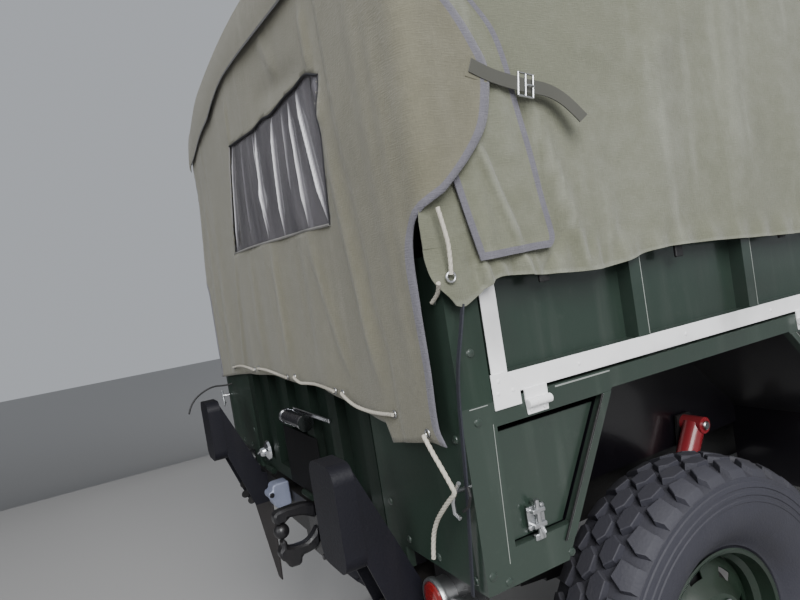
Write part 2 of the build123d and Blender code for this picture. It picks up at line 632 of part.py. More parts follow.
def side_locker_door_box(grow):
    """Corners of the long locker's door, or of its opening when grown by the gap."""
    return (BODY_REAR + ARCH_FRONT_LOW + SIDE_DOOR_REAR - grow, BED_FRONT - SIDE_DOOR_FRONT + grow,
            SIDE_DOOR_LOW - grow, SIDE_DOOR_HIGH + grow)


def side_locker_cut():
    x0, x1, z0, z1 = side_locker_door_box(LOCKER_DOOR_GAP)
    return block(x0, x1, -BODY_HALF - 5, -BODY_HALF + 60, z0, z1 + LOCKER_HINGE_GAP - LOCKER_DOOR_GAP)


def side_locker_door():
    x0, x1, z0, z1 = side_locker_door_box(0)
    y = -BODY_HALF + LOCKER_DOOR_RECESS
    door = block(x0, x1, y, y + LOCKER_DOOR_THICKNESS, z0, z1)
    door += block((x0 + x1) / 2 - 30, (x0 + x1) / 2 + 30, y - 10, y, z0 + 24, z0 + 60)
    y_in = y + LOCKER_DOOR_THICKNESS
    hinge_z = z1 - LOCKER_HINGE_DROP
    door += rod((x0, y_in, hinge_z), (x1, y_in, hinge_z), LOCKER_HINGE_RADIUS)
    return door


def locker_door_cut(side):
    y = side * BODY_HALF
    outline = locker_outline(LOCKER_DOOR_GAP, LOCKER_SLANT_GAP, LOCKER_HINGE_GAP)
    return side_profile(outline, y + side * 5, y - side * 60)


def rear_locker_door():
    """The right-hand corner locker's door with its slide bolt."""
    y = -BODY_HALF + LOCKER_DOOR_RECESS
    outline = locker_outline(0, 0, 0)
    door = side_profile(outline, y, y + LOCKER_DOOR_THICKNESS)
    hinge_z = RAIL_STRIP_BOTTOM - 20 - LOCKER_HINGE_DROP
    y_in = y + LOCKER_DOOR_THICKNESS
    door += rod((outline[0][0], y_in, hinge_z), (outline[2][0] - 20, y_in, hinge_z), LOCKER_HINGE_RADIUS)
    x = BODY_REAR + 131
    door += block(x - 17, x + 17, y - 8, y, 958, 998)
    door += rod((x, y - 6, 950), (x, y - 6, 1004), 6)
    return door


def drop_side():
    """The right-hand drop side: a flat sheet behind upright ribs, hinged along its foot."""
    x0 = BODY_REAR + CORNER_POST + SIDE_CLEARANCE
    x1 = BED_FRONT - CORNER_POST - SIDE_CLEARANCE
    y_out = -BODY_HALF
    y_in = y_out + SIDE_THICKNESS
    z0 = BOX_TOP + SIDE_CLEARANCE
    bar = z0 + SIDE_BAR_HEIGHT
    sheet = block(x0, x1, y_out + SIDE_RECESS, y_in, z0, SIDE_TOP)
    sheet += block(x0, x1, y_out + SIDE_BAR_SKIN, y_in, z0, bar)
    sheet += block(x0, x1, y_out, y_in, SIDE_TOP - 30, SIDE_TOP)
    for x in (x0, x1 - SIDE_BAR_WIDTH):
        sheet += block(x, x + SIDE_BAR_WIDTH, y_out + SIDE_BAR_SKIN, y_in, bar, SIDE_TOP - 30)
    inner = x1 - x0 - SIDE_BAR_WIDTH * 2
    pitch = (inner + SIDE_RIB_WIDTH) / (SIDE_RIBS + 1)
    for step in range(1, SIDE_RIBS + 1):
        x = x0 + SIDE_BAR_WIDTH + pitch * step - SIDE_RIB_WIDTH
        sheet += block(x, x + SIDE_RIB_WIDTH, y_out, y_in, bar, SIDE_TOP - 30)
    return sheet


def side_bars():
    """Bright angle bars along the foot and up both ends of the right-hand drop side, with hinge knuckles."""
    x0 = BODY_REAR + CORNER_POST + SIDE_CLEARANCE
    x1 = BED_FRONT - CORNER_POST - SIDE_CLEARANCE
    y_out = -BODY_HALF
    z0 = BOX_TOP + SIDE_CLEARANCE
    bar = z0 + SIDE_BAR_HEIGHT
    skin = SIDE_BAR_SKIN
    bars = block(x0, x1, y_out, y_out + skin, z0, bar)
    for x in (x0, x1 - SIDE_BAR_WIDTH):
        bars += block(x, x + SIDE_BAR_WIDTH, y_out, y_out + skin, bar, SIDE_TOP - 30)
    for x in hinge_places():
        bars += rod((x - 34, HINGE_Y, HINGE_Z), (x + 34, HINGE_Y, HINGE_Z), HINGE_RADIUS)
        bars += block(x - 34, x + 34, y_out - 3, y_out, HINGE_Z, z0 + 12)
    return bars


SIDE_BAR_SKIN = 3.0
HINGE_Y = -BODY_HALF - HINGE_RADIUS - 1.0
HINGE_Z = 1186.0


def hinge_places():
    """X of the drop side's hinges: one near each end and two between."""
    x0 = BODY_REAR + CORNER_POST + 90
    x1 = BED_FRONT - CORNER_POST - 90
    return [x0 + (x1 - x0) * step / 3 for step in range(4)]


def tailgate():
    """The tailgate: a flat sheet with upright ribs between two stiles, hinged at its foot."""
    x0 = BODY_REAR
    x1 = BODY_REAR + GATE_THICKNESS
    gate = block(x0 + GATE_RECESS, x1, -GATE_HALF, GATE_HALF, GATE_BOTTOM, SIDE_TOP)
    gate += block(x0, x1, -GATE_HALF, GATE_HALF, SIDE_TOP - 34, SIDE_TOP)
    gate += block(x0, x1, -GATE_HALF, GATE_HALF, GATE_BOTTOM, GATE_BOTTOM + 40)
    pitch = (2 * GATE_HALF - GATE_RIB_WIDTH) / (GATE_RIBS + 1)
    for step in range(GATE_RIBS + 2):
        y = -GATE_HALF + pitch * step
        gate += block(x0, x1, y, y + GATE_RIB_WIDTH, GATE_BOTTOM, SIDE_TOP)
    # Hinge barrels below the outer edge of the foot
    for y in (-GATE_HINGE_Y, 0.0, GATE_HINGE_Y):
        gate += rod((x0 - GATE_HINGE_DROP, y - 40, GATE_BOTTOM - GATE_HINGE_DROP),
                    (x0 - GATE_HINGE_DROP, y + 40, GATE_BOTTOM - GATE_HINGE_DROP), GATE_HINGE_RADIUS)
    return gate


def tilt_section(inset):
    """(Y, Z) outline of the canvas, drawn in by inset: upright sides, round eaves and a low crown."""
    half = TILT_HALF - inset
    eave = TILT_EAVE - inset
    top = TILT_TOP - inset
    low = SKIRT_TOP
    corner = TILT_CORNER - inset
    points = [(-half, low), (-half, eave - corner)]
    for step in range(1, 5):
        angle = radians(90.0 * step / 5)
        points.append((-half + corner - corner * cos(angle), eave - corner + corner * sin(angle)))
    points += [(-half + corner, eave), (-half * 0.45, top - 14), (0, top)]
    return points + [(-y, z) for y, z in reversed(points[:-1])]


def tilt():
    """The canvas over the bed and the cab, open below and at the tail, cut away round the doors."""
    back = BODY_REAR - CURTAIN_STANDOFF
    outside = end_profile(tilt_section(0), back, TILT_FRONT)
    inside = end_profile(tilt_section(CANVAS), back - 10, TILT_FRONT - CANVAS)
    inside += end_profile([(-TILT_HALF + CANVAS, SKIRT_TOP - 10), (TILT_HALF - CANVAS, SKIRT_TOP - 10),
                           (TILT_HALF - CANVAS, SKIRT_TOP + 10), (-TILT_HALF + CANVAS, SKIRT_TOP + 10)],
                          back - 10, TILT_FRONT - CANVAS)
    # The roof falls towards the top of the windscreen
    wedge = side_profile([(TILT_FRONT - TILT_FALL_LENGTH, TILT_TOP + 1), (TILT_FRONT + 10, TILT_TOP - TILT_FALL),
                          (TILT_FRONT + 10, TILT_TOP + 200)], -TILT_HALF - 5, TILT_HALF + 5)
    wedge_inner = Pos(0, 0, -CANVAS) * wedge
    canvas = (outside - wedge) - (inside - wedge_inner)
    door_gap = block(DOOR_BACK - DOOR_GAP - 4, TILT_FRONT + 10, -TILT_HALF - 5, TILT_HALF + 5, SKIRT_TOP - 20, DOOR_TOP + 14)
    return canvas - door_gap


TILT_FRONT = CAB_FRONT - 90.0
TILT_FALL_LENGTH = 560.0
TILT_FALL = 130.0


def rear_curtain():
    """The canvas curtain that closes the tail, with an opening for its clear window."""
    x1 = BODY_REAR - CURTAIN_STANDOFF
    x0 = x1 - CANVAS
    half = TILT_HALF - 8
    curtain = end_profile([(-half, CURTAIN_BOTTOM), (half, CURTAIN_BOTTOM), (half, TILT_EAVE - TILT_CORNER),
                           (half - TILT_CORNER * 0.3, TILT_EAVE - TILT_CORNER * 0.3), (half - TILT_CORNER, TILT_EAVE - 4),
                           (0, TILT_TOP - 8), (-half + TILT_CORNER, TILT_EAVE - 4),
                           (-half + TILT_CORNER * 0.3, TILT_EAVE - TILT_CORNER * 0.3),
                           (-half, TILT_EAVE - TILT_CORNER)], x0, x1)
    return curtain - end_profile(WINDOW, x0 - 5, x1 + 5)


# Corners (Y, Z) of the clear window in the curtain
WINDOW = [(-545.0, 1592.0), (344.0, 1622.0), (178.0, 1952.0), (-616.0, 1898.0)]


def curtain_window():
    x1 = BODY_REAR - CURTAIN_STANDOFF - 1
    return end_profile(WINDOW, x1 - 4, x1)


def tilt_skirt():
    """The hem of the canvas that hangs over the right-hand drop side."""
    y = -TILT_HALF
    return block(BODY_REAR + 4, CAB_BACK + 30, y, y + CANVAS, SKIRT_BOTTOM, SKIRT_TOP)


def tilt_hoops():
    """Tubular hoops that stand in sockets: two legs, two slanted eaves and a low crown, mitred at the corners."""
    hoops = []
    inset = CANVAS + HOOP_RADIUS + 12
    half = TILT_HALF - inset
    top = TILT_TOP - inset - 12
    eave = TILT_EAVE - inset
    bend = TILT_CORNER * 0.6
    for x in HOOP_PLACES:
        path = Polyline((x, -half, SIDE_TOP), (x, -half, eave - bend), (x, -half + bend, eave), (x, 0, top),
                        (x, half - bend, eave), (x, half, eave - bend), (x, half, SIDE_TOP))
        section = Plane(origin=path @ 0, z_dir=path % 0) * RegularPolygon(HOOP_RADIUS, 12)
        hoops.append(sweep(section, path, transition=Transition.RIGHT))
    return hoops


HOOP_INSET = 36.0
HOOP_COUNT = 4
HOOP_PITCH = (BED_FRONT - BODY_REAR - 2 * HOOP_INSET) / (HOOP_COUNT - 1)
HOOP_PLACES = [BODY_REAR + HOOP_INSET + HOOP_PITCH * step for step in range(HOOP_COUNT)]


def cab_shell():
    """The cab's fixed panels: nose, wheel boxes, floor, side quarters, sills and back wall."""
    half = CAB_HALF
    skin = CAB_SKIN
    arch_back = FRONT_AXLE_X - ARCH_HALF_LENGTH
    arch_front = FRONT_AXLE_X + ARCH_HALF_LENGTH
    nose = block(CAB_FRONT - skin, CAB_FRONT, -half, half, CAB_BOTTOM, CAB_WAIST)
    nose -= block(CAB_FRONT - skin - 5, CAB_FRONT + 5, -GRILLE_HALF, GRILLE_HALF, GRILLE_LOW, GRILLE_HIGH)
    reach = RAIL_Y + RAIL_WIDTH / 2 + NOSE_GAP
    nose -= block(CAB_FRONT - skin - 5, CAB_FRONT + 5, -reach, reach, CAB_BOTTOM - 5, RAIL_TOP + NOSE_GAP)
    cab = Part() + nose
    door_front = FRONT_AXLE_X + DOOR_FRONT_OFFSET + DOOR_GAP
    door_back = FRONT_AXLE_X - DOOR_REAR_OFFSET - DOOR_GAP
    for side in (-1, 1):
        y_out = side * half
        y_in = side * (half - skin)
        cab += block(door_front, CAB_FRONT, y_in, y_out, ARCH_TOP, CAB_WAIST)
        cab += block(arch_front, CAB_FRONT, y_in, y_out, CAB_BOTTOM, ARCH_TOP)
        cab += block(CAB_BACK, door_back, y_in, y_out, CAB_BOTTOM, CAB_WAIST)
        cab += block(CAB_BACK, arch_back, y_in, y_out, CAB_BOTTOM, ARCH_TOP)
        inner = side * ARCH_INNER
        cab += block(arch_back - skin, arch_front + skin, inner, y_out, ARCH_TOP, CAB_FLOOR)
        cab += block(arch_back - skin, arch_front + skin, inner - side * skin, inner, CAB_BOTTOM + 80, CAB_FLOOR)
        cab += block(arch_back - skin, arch_back, inner, y_out, CAB_BOTTOM, ARCH_TOP)
        cab += block(arch_front, arch_front + skin, inner, y_out, CAB_BOTTOM, ARCH_TOP)
    floor_in = ARCH_INNER - skin
    cab += block(CAB_BACK, CAB_FRONT, -floor_in, floor_in, CAB_BOTTOM + 80, CAB_BOTTOM + 80 + skin)
    cab -= block(ENGINE_BACK - 20, ENGINE_FRONT + 20, -ENGINE_HALF - 20, ENGINE_HALF + 20, CAB_BOTTOM + 70, CAB_BOTTOM + 110)
    cab += block(CAB_BACK, CAB_BACK + skin, -half, half, CAB_BOTTOM + 80, CAB_WAIST)
    cab += block(CAB_FRONT - 160, CAB_FRONT - skin, -half + skin, half - skin, CAB_WAIST - 120, CAB_WAIST)
    return cab


GRILLE_HALF = 400.0
GRILLE_LOW = 830.0
GRILLE_HIGH = 1190.0
NOSE_GAP = 8.0
ENGINE_HALF = 230.0
ENGINE_BACK = FRONT_AXLE_X - 530.0
ENGINE_FRONT = FRONT_AXLE_X + 120.0
ENGINE_TOP = 1150.0


def grille():
    """A frame filled with upright and level bars, set in the nose."""
    x0 = CAB_FRONT - CAB_SKIN + 2
    x1 = CAB_FRONT - 2
    rim_width = 16.0
    mesh = block(x0, x1, -GRILLE_HALF, GRILLE_HALF, GRILLE_LOW, GRILLE_HIGH)
    mesh -= block(x0 - 5, x1 + 5, -GRILLE_HALF + rim_width, GRILLE_HALF - rim_width, GRILLE_LOW + rim_width,
                  GRILLE_HIGH - rim_width)
    for step in range(1, GRILLE_BARS):
        y = -GRILLE_HALF + 2 * GRILLE_HALF * step / GRILLE_BARS
        mesh += block(x0 + 4, x1 - 4, y - 3, y + 3, GRILLE_LOW + 4, GRILLE_HIGH - 4)
    for step in range(1, 5):
        z = GRILLE_LOW + (GRILLE_HIGH - GRILLE_LOW) * step / 5
        mesh += block(x0 + 4, x1 - 4, -GRILLE_HALF + 4, GRILLE_HALF - 4, z - 3, z + 3)
    return mesh


GRILLE_BARS = 20


def windscreen_frame():
    """The raked frame with a middle pillar, standing on the nose."""
    frame = screen_slab(0.0, SCREEN_THICKNESS, CAB_HALF - 26, CAB_WAIST, SCREEN_TOP)
    for side in (-1, 1):
        y0 = side * 22
        y1 = side * (CAB_HALF - 26 - SCREEN_FRAME)
        frame -= screen_pane(y0, y1, -10.0, SCREEN_THICKNESS + 10.0)
    return frame


def screen_slab(front, back, half, low, high):
    """A slab that leans back with the windscreen, between two distances behind its front face."""
    lean = SCREEN_RAKE / (SCREEN_TOP - CAB_WAIST)
    x_low = CAB_FRONT - 20 - lean * (low - CAB_WAIST)
    x_high = CAB_FRONT - 20 - lean * (high - CAB_WAIST)
    return side_profile([(x_low - front, low), (x_high - front, high), (x_high - back, high), (x_low - back, low)],
                        -half, half)


def screen_pane(y0, y1, front, back):
    low = CAB_WAIST + SCREEN_FRAME
    high = SCREEN_TOP - SCREEN_FRAME
    slab = screen_slab(front, back, CAB_HALF, low, high)
    return slab & block(CAB_FRONT - 400, CAB_FRONT + 50, min(y0, y1), max(y0, y1), low - 50, high + 50)


def windscreen_glass():
    panes = []
    for side in (-1, 1):
        panes.append(screen_pane(side * 22, side * (CAB_HALF - 26 - SCREEN_FRAME), 14.0, 14.0 + GLASS))
    return panes


def door():
    """The right-hand cab door: a thick lower panel and a framed window above the waist."""
    x0 = FRONT_AXLE_X - DOOR_REAR_OFFSET
    x1 = FRONT_AXLE_X + DOOR_FRONT_OFFSET
    y_out = -CAB_HALF
    y_in = y_out + DOOR_THICKNESS
    outline = [(x0, DOOR_BOTTOM), (x1, DOOR_BOTTOM), (x1, DOOR_TOP), (x0, DOOR_TOP)]
    leaf = side_profile(outline, y_out, y_in)
    leaf -= block(x0 + DOOR_FRAME, x1 - DOOR_FRAME, y_out - 5, y_in + 5, CAB_WAIST + 20, DOOR_TOP - DOOR_FRAME)
    leaf += block(x0 + 60, x0 + 190, y_out - 26, y_out - 14, CAB_WAIST - 70, CAB_WAIST - 54)
    for x in (x0 + 66, x0 + 176):
        leaf += block(x, x + 14, y_out - 20, y_out, CAB_WAIST - 70, CAB_WAIST - 54)
    for z in DOOR_HINGES:
        leaf += rod((x1 + 3, y_out - 12, z - 40), (x1 + 3, y_out - 12, z + 40), 8)
        leaf += block(x1 - 60, x1 + 3, y_out - 14, y_out, z - 30, z + 30)
    return leaf


DOOR_HINGES = (1130.0, 1360.0)


def door_glass():
    x0 = FRONT_AXLE_X - DOOR_REAR_OFFSET + DOOR_FRAME
    x1 = FRONT_AXLE_X + DOOR_FRONT_OFFSET - DOOR_FRAME
    y = -CAB_HALF + DOOR_THICKNESS / 2
    return block(x0, x1, y - GLASS / 2, y + GLASS / 2, CAB_WAIST + 20, DOOR_TOP - DOOR_FRAME)


def seat_parts():
    """Two seats beside the engine cover: steel boxes and padded cushions."""
    frames = []
    cushions = []
    for side in (-1, 1):
        y0 = side * 340
        y1 = side * 830
        frames.append(block(SEAT_X, SEAT_X + 460, y0, y1, CAB_FLOOR, CAB_FLOOR + 110))
        frames.append(block(SEAT_X - 40, SEAT_X - 10, y0, y1, CAB_FLOOR, CAB_FLOOR + 480))
        cushions.append(block(SEAT_X + 6, SEAT_X + 470, y0, y1, CAB_FLOOR + 111, CAB_FLOOR + 220))
        cushions.append(block(SEAT_X - 9, SEAT_X + 80, y0, y1, CAB_FLOOR + 222, CAB_FLOOR + 640))
    return frames, cushions


SEAT_X = FRONT_AXLE_X - 420.0


STEERING_RADIUS = 205.0
STEERING_GRIP = 13.0


def steering_wheel():
    """A three-spoke wheel on an upright column in front of the right-hand seat."""
    x = FRONT_AXLE_X + 300
    y = -560
    z = 1430
    plane = Plane(origin=(x, y, z), z_dir=(-0.42, 0, 0.91))
    ring = RegularPolygon(STEERING_RADIUS, 20).wire()
    section = Plane(origin=ring @ 0, z_dir=ring % 0) * RegularPolygon(STEERING_GRIP, 8)
    wheel = plane * sweep(section, ring, transition=Transition.RIGHT)
    wheel += plane * Cylinder(34, 30)
    for angle in (90, 210, 330):
        wheel += plane * (Rot(0, 0, angle) * (Pos(STEERING_RADIUS / 2 - 4, 0, 0) * Box(STEERING_RADIUS - 8, 24, 10)))
    wheel += rod((x, y, z), (x + 150, y, CAB_FLOOR + 40), 20)
    wheel += rod((x + 150, y, CAB_FLOOR), (x + 150, y, CAB_FLOOR + 60), 46)
    return wheel


def engine_cover():
    """A hollow cover over the engine, between the seats."""
    low = CAB_BOTTOM + 80 + CAB_SKIN + 1
    high = ENGINE_TOP + 60
    cover = block(ENGINE_BACK - 70, ENGINE_FRONT + 70, -ENGINE_HALF - 60, ENGINE_HALF + 60, low, high)
    return cover - block(ENGINE_BACK - 56, ENGINE_FRONT + 56, -ENGINE_HALF - 46, ENGINE_HALF + 46, low - 5, high - 14)


def engine_block():
    """The engine as one plain block between the rails, below the cab's cover."""
    return block(ENGINE_BACK, ENGINE_FRONT, -ENGINE_HALF, ENGINE_HALF, AXLE_Z + 200, ENGINE_TOP)


def drive_line():
    """Gearbox with transfer case, and the two shafts from it to the axles."""
    x = FRONT_AXLE_X - 800
    case = block(x - 180, x + 236, -150, 290, AXLE_Z + 80, RAIL_BOTTOM + 120)
    z = AXLE_Z + 120
    # Each shaft: where it leaves the case, its axle, the pinion's side
    for start, axle_x, diff_y, towards in ((x - 100, REAR_AXLE_X, 0.0, 1), (x + 100, FRONT_AXLE_X, FRONT_DIFF_Y, -1)):
        joint = axle_x + towards * (PINION_REACH + 40)
        case += rod((start, FRONT_DIFF_Y, z), (joint, diff_y, AXLE_Z), 30)
        case += rod((joint, diff_y, AXLE_Z), (axle_x + towards * PINION_REACH, diff_y, AXLE_Z), 44)
    return case


def mirrors():
    arms = []
    for side in (-1, 1):
        x = CAB_FRONT - 70
        y0 = side * CAB_HALF
        y1 = side * MIRROR_REACH
        arm = block(x - 20, x + 20, y0, y0 + side * 6, CAB_WAIST - 110, CAB_WAIST - 30)
        arm += rod((x, y0 + side * 3, CAB_WAIST - 50), (x, y1 + side * 12, CAB_WAIST - 50), 8)
        arm += rod((x, y1, CAB_WAIST - 50), (x, y1, CAB_WAIST + 310), 7)
        arm += block(x - 24, x - 4, y1 - 85, y1 + 85, CAB_WAIST + 90, CAB_WAIST + 290)
        arms.append(arm)
    return arms


MIRROR_REACH = 1030.0


def front_lamps():
    """Two headlamps beside the grille, and a side lamp and an indicator outside each."""
    lamps = []
    for side in (-1, 1):
        # Each lamp: distance from the middle, height, radius
        for y, z, radius in ((560.0, 1000.0, 92.0), (760.0, 1060.0, 34.0), (760.0, 950.0, 34.0)):
            lamps.append(rod((CAB_FRONT, side * y, z), (CAB_FRONT + 40, side * y, z), radius))
    return lamps


def rear_lamps():
    """Round stop, tail and turn lamps on brackets below the corners of the body."""
    lamps = []
    for side in (-1, 1):
        lamp = block(BODY_REAR + 16, BODY_REAR + 22, side * (TAIL_MEMBER_HALF + 2), side * 886, 750, LOCKER_BOTTOM)
        for y, z, radius in ((748.0, 806.0, 42.0), (840.0, 806.0, 38.0)):
            lamp += rod((BODY_REAR + 16, side * y, z), (BODY_REAR - 24, side * y, z), radius)
        lamps.append(lamp)
    return lamps


def mudflaps():
    """A rubber sheet behind each rear wheel, hung from the tail member and the lamp plate."""
    flaps = []
    under = RAIL_TOP - TAIL_MEMBER_HEIGHT - 2
    for side in (-1, 1):
        outer = side * 890
        step = side * (TAIL_MEMBER_HALF + 2)
        inner = side * 560
        flaps.append(end_profile([(inner, 340), (outer, 340), (outer, 748), (step, 748), (step, under), (inner, under)],
                                 BODY_REAR + 16, BODY_REAR + 22))
    return flaps


def fuel_tank():
    """A pressed tank on the left, inboard of the spare wheel."""
    tank = block(SPARE_X + 60, BED_FRONT - 30, RAIL_Y + RAIL_WIDTH / 2 + 12, SPARE_Y - TYRE_HALF_WIDTH - 12, 470, 780)
    return fillet(tank.edges().filter_by(Axis.X), 40)


def exhaust():
    """A silencer below the right-hand locker, with its pipes."""
    y = -(RAIL_Y + RAIL_WIDTH / 2 + 78)
    muffler = rod((-420, y, 560), (140, y, 560), 66)
    muffler += rod((-640, y, 560), (-410, y, 560), 24)
    muffler += rod((130, y, 560), (420, y, 560), 24)
    return muffler


def trailer_socket():
    """A round socket for a trailer's lamps on its plate."""
    x = BODY_REAR + TAIL_MEMBER_INSET
    z = GATE_BOTTOM - RUN_GAP - 44
    socket = block(x - 8, x, 236, 330, RAIL_TOP - 90, z + 42)
    socket += rod((x - 4, 283, z), (x - 70, 283, z), 32)
    return socket


def curtain_rope():
    """The cord from the curtain's corner eyelet to the body's hook, and its loose tail."""
    path = FilletPolyline(*ROPE_POINTS, radius=ROPE_BENDS)
    return sweep(Plane(origin=path @ 0, z_dir=path % 0) * Circle(ROPE_RADIUS), path)


ROPE_RADIUS = 4.5
ROPE_POINTS = [(BODY_REAR - 36.0, -690.0, 1150.0), (BODY_REAR - 42.0, -745.0, 1100.0), (BODY_REAR - 34.0, -800.0, 1064.0),
               (BODY_REAR - 30.0, -790.0, 1010.0), (BODY_REAR - 30.0, -752.0, 960.0), (BODY_REAR - 30.0, -742.0, 900.0)]
ROPE_BENDS = [120.0, 30.0, 60.0, 100.0]


os.makedirs("parts", exist_ok=True)

keep("chassis_frame", chassis_frame())
rear_half = TRACK_REAR / 2 - DRUM_REACH - RUN_GAP
front_half = TRACK_FRONT / 2 - KING_PIN_INSET - 10
keep("rear_axle", axle_housing(REAR_AXLE_X, 0.0, rear_half, SHOCKS[0][2], 1))
keep("front_axle", axle_housing(FRONT_AXLE_X, FRONT_DIFF_Y, front_half, SHOCKS[1][2], -1))
springs = []
shocks = []
for axle_x, lean, shock_y, top in SHOCKS:
    for side in (-1, 1):
        springs.append(leaf_pack(axle_x, side * SPRING_Y))
        shocks.append(shock_absorber(axle_x, lean, shock_y, top, side))
keep("leaf_springs", *springs)
keep("shock_absorbers", *shocks)
keep("engine_block", engine_block())
keep("drive_line", drive_line())
keep("fuel_tank", fuel_tank())
keep("exhaust", exhaust())
keep("front_bumper", front_bumper())
keep("rear_buffers", *both(rear_buffer()))
keep("tow_pintle", tow_pintle())
keep("trailer_socket", trailer_socket())
keep("mudflaps", *mudflaps())
keep("knuckle_right", knuckle())
keep("knuckle_left", left_of(knuckle()))

road_tyre = tyre()
# Each road wheel: name, axle position, half track, side
for name, x, half_track, side in (
        ("front_right", FRONT_AXLE_X, TRACK_FRONT / 2, -1), ("front_left", FRONT_AXLE_X, TRACK_FRONT / 2, 1),
        ("rear_right", REAR_AXLE_X, TRACK_REAR / 2, -1), ("rear_left", REAR_AXLE_X, TRACK_REAR / 2, 1)):
    place = Pos(x, side * half_track, AXLE_Z)
    keep("tyre_" + name, place * road_tyre)
    keep("rim_" + name, place * (rim(side, True)))
spare_place = Pos(SPARE_X, SPARE_Y, SPARE_Z)
keep("tyre_spare", spare_place * road_tyre)
keep("rim_spare", spare_place * rim(1, False))

keep("bed_floor", bed_floor(), headboard())
keep("rear_posts", rear_post(-1), rear_post(1))
keep("side_box_right", side_box(-1))
keep("side_box_left", side_box(1))
keep("side_locker", side_locker())
keep("drop_side_right", drop_side())
keep("drop_side_left", left_of(drop_side()))
keep("side_bars_right", side_bars())
keep("side_bars_left", left_of(side_bars()))
keep("tailgate", tailgate())
keep("locker_door_right", rear_locker_door())
keep("locker_door_left", left_of(rear_locker_door()))
keep("side_locker_door", side_locker_door())
keep("tilt_hoops", *tilt_hoops())
keep("tilt", tilt())
keep("rear_curtain", rear_curtain())
keep("curtain_window", curtain_window())
keep("tilt_skirt_right", tilt_skirt())
keep("tilt_skirt_left", left_of(tilt_skirt()))
keep("curtain_rope", curtain_rope())

keep("cab_shell", cab_shell())
keep("grille", grille())
keep("windscreen_frame", windscreen_frame())
keep("windscreen_glass", *windscreen_glass())
keep("door_right", door())
keep("door_left", left_of(door()))
keep("door_glass_right", door_glass())
keep("door_glass_left", left_of(door_glass()))
seat_frames, seat_cushions = seat_parts()
keep("seat_frames", *seat_frames)
keep("seat_cushions", *seat_cushions)
keep("steering_wheel", steering_wheel())
keep("engine_cover", engine_cover())
keep("mirrors", *mirrors())
keep("lamps", *front_lamps(), *rear_lamps())
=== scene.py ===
from math import atan2, cos, exp, pi, radians, sin, sqrt

import bmesh
import bpy
from mathutils import Matrix, Vector, noise


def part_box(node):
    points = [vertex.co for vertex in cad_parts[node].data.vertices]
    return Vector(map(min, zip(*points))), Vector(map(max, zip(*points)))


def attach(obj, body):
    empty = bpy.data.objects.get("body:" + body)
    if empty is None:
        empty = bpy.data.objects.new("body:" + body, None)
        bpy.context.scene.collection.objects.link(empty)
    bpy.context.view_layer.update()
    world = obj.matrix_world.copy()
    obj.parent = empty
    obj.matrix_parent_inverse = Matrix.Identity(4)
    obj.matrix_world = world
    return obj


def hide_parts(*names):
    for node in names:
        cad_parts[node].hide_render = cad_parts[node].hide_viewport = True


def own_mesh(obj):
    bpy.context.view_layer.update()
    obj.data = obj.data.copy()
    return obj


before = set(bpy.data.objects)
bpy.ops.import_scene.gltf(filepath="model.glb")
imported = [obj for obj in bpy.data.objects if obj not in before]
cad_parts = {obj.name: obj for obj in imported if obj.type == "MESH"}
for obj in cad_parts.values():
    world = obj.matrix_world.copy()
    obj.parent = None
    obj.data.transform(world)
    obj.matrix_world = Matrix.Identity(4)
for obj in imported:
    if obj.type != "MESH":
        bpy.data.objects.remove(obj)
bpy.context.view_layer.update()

# The studio: a pale floor, a pale sky and two broad lamps. The truck is seen from close behind its
# right rear corner, from a little above the tailgate, by a camera that is held slightly tilted.
FLOOR_HALF = 16.0
FLOOR_COLOUR = (0.36, 0.355, 0.35)
SKY_COLOUR = (0.80, 0.84, 0.90)
SKY_STRENGTH = 0.52
LENS = 27.912
EYE = (-2.46616, -1.82520, 1.45011)
LOOKS_RIGHT = (0.86755, -0.47191, -0.15701)
LOOKS_UP = (0.15501, -0.04340, 0.98696)
LOOKS_BACK = (-0.47257, -0.88058, 0.03550)
# Lamps: name, place, what it lights, size, power
LAMPS = (("key", (-3.4, -6.8, 5.6), (-1.0, -0.5, 1.3), 5.0, 880.0),
         ("tail", (-7.5, -1.6, 3.4), (-1.8, 0.0, 1.4), 4.0, 110.0),
         ("front", (6.0, 4.5, 5.5), (0.8, 0.4, 1.2), 5.0, 200.0))
# A black screen beyond the tail keeps the sky out of the paint there. The camera doesn't see it.
SCREEN = ((-10.0, 4.6, 0.0), (-0.6, 4.6, 0.0), (-0.6, 4.6, 6.0), (-10.0, 4.6, 6.0))

floor_mesh = bpy.data.meshes.new("studio_floor")
floor_shape = bmesh.new()
bmesh.ops.create_grid(floor_shape, x_segments=2, y_segments=2, size=FLOOR_HALF)
floor_shape.to_mesh(floor_mesh)
floor_shape.free()
studio_floor = bpy.data.objects.new("studio_floor", floor_mesh)
bpy.context.collection.objects.link(studio_floor)
floor_finish = bpy.data.materials.new("studio_floor")
floor_finish.use_nodes = True
floor_shader = floor_finish.node_tree.nodes["Principled BSDF"]
floor_shader.inputs["Base Color"].default_value = (*FLOOR_COLOUR, 1.0)
floor_shader.inputs["Roughness"].default_value = 0.85
floor_mesh.materials.append(floor_finish)
screen_mesh = bpy.data.meshes.new("dark_screen")
screen_mesh.from_pydata(SCREEN, [], [(0, 1, 2, 3)])
dark_screen = bpy.data.objects.new("dark_screen", screen_mesh)
dark_screen.visible_camera = False
bpy.context.collection.objects.link(dark_screen)
screen_finish = bpy.data.materials.new("dark_screen")
screen_finish.use_nodes = True
screen_finish.node_tree.nodes["Principled BSDF"].inputs["Base Color"].default_value = (0.01, 0.01, 0.01, 1.0)
screen_mesh.materials.append(screen_finish)

sky = bpy.data.worlds.new("sky")
sky.use_nodes = True
sky.node_tree.nodes["Background"].inputs["Color"].default_value = (*SKY_COLOUR, 1.0)
sky.node_tree.nodes["Background"].inputs["Strength"].default_value = SKY_STRENGTH
bpy.context.scene.world = sky

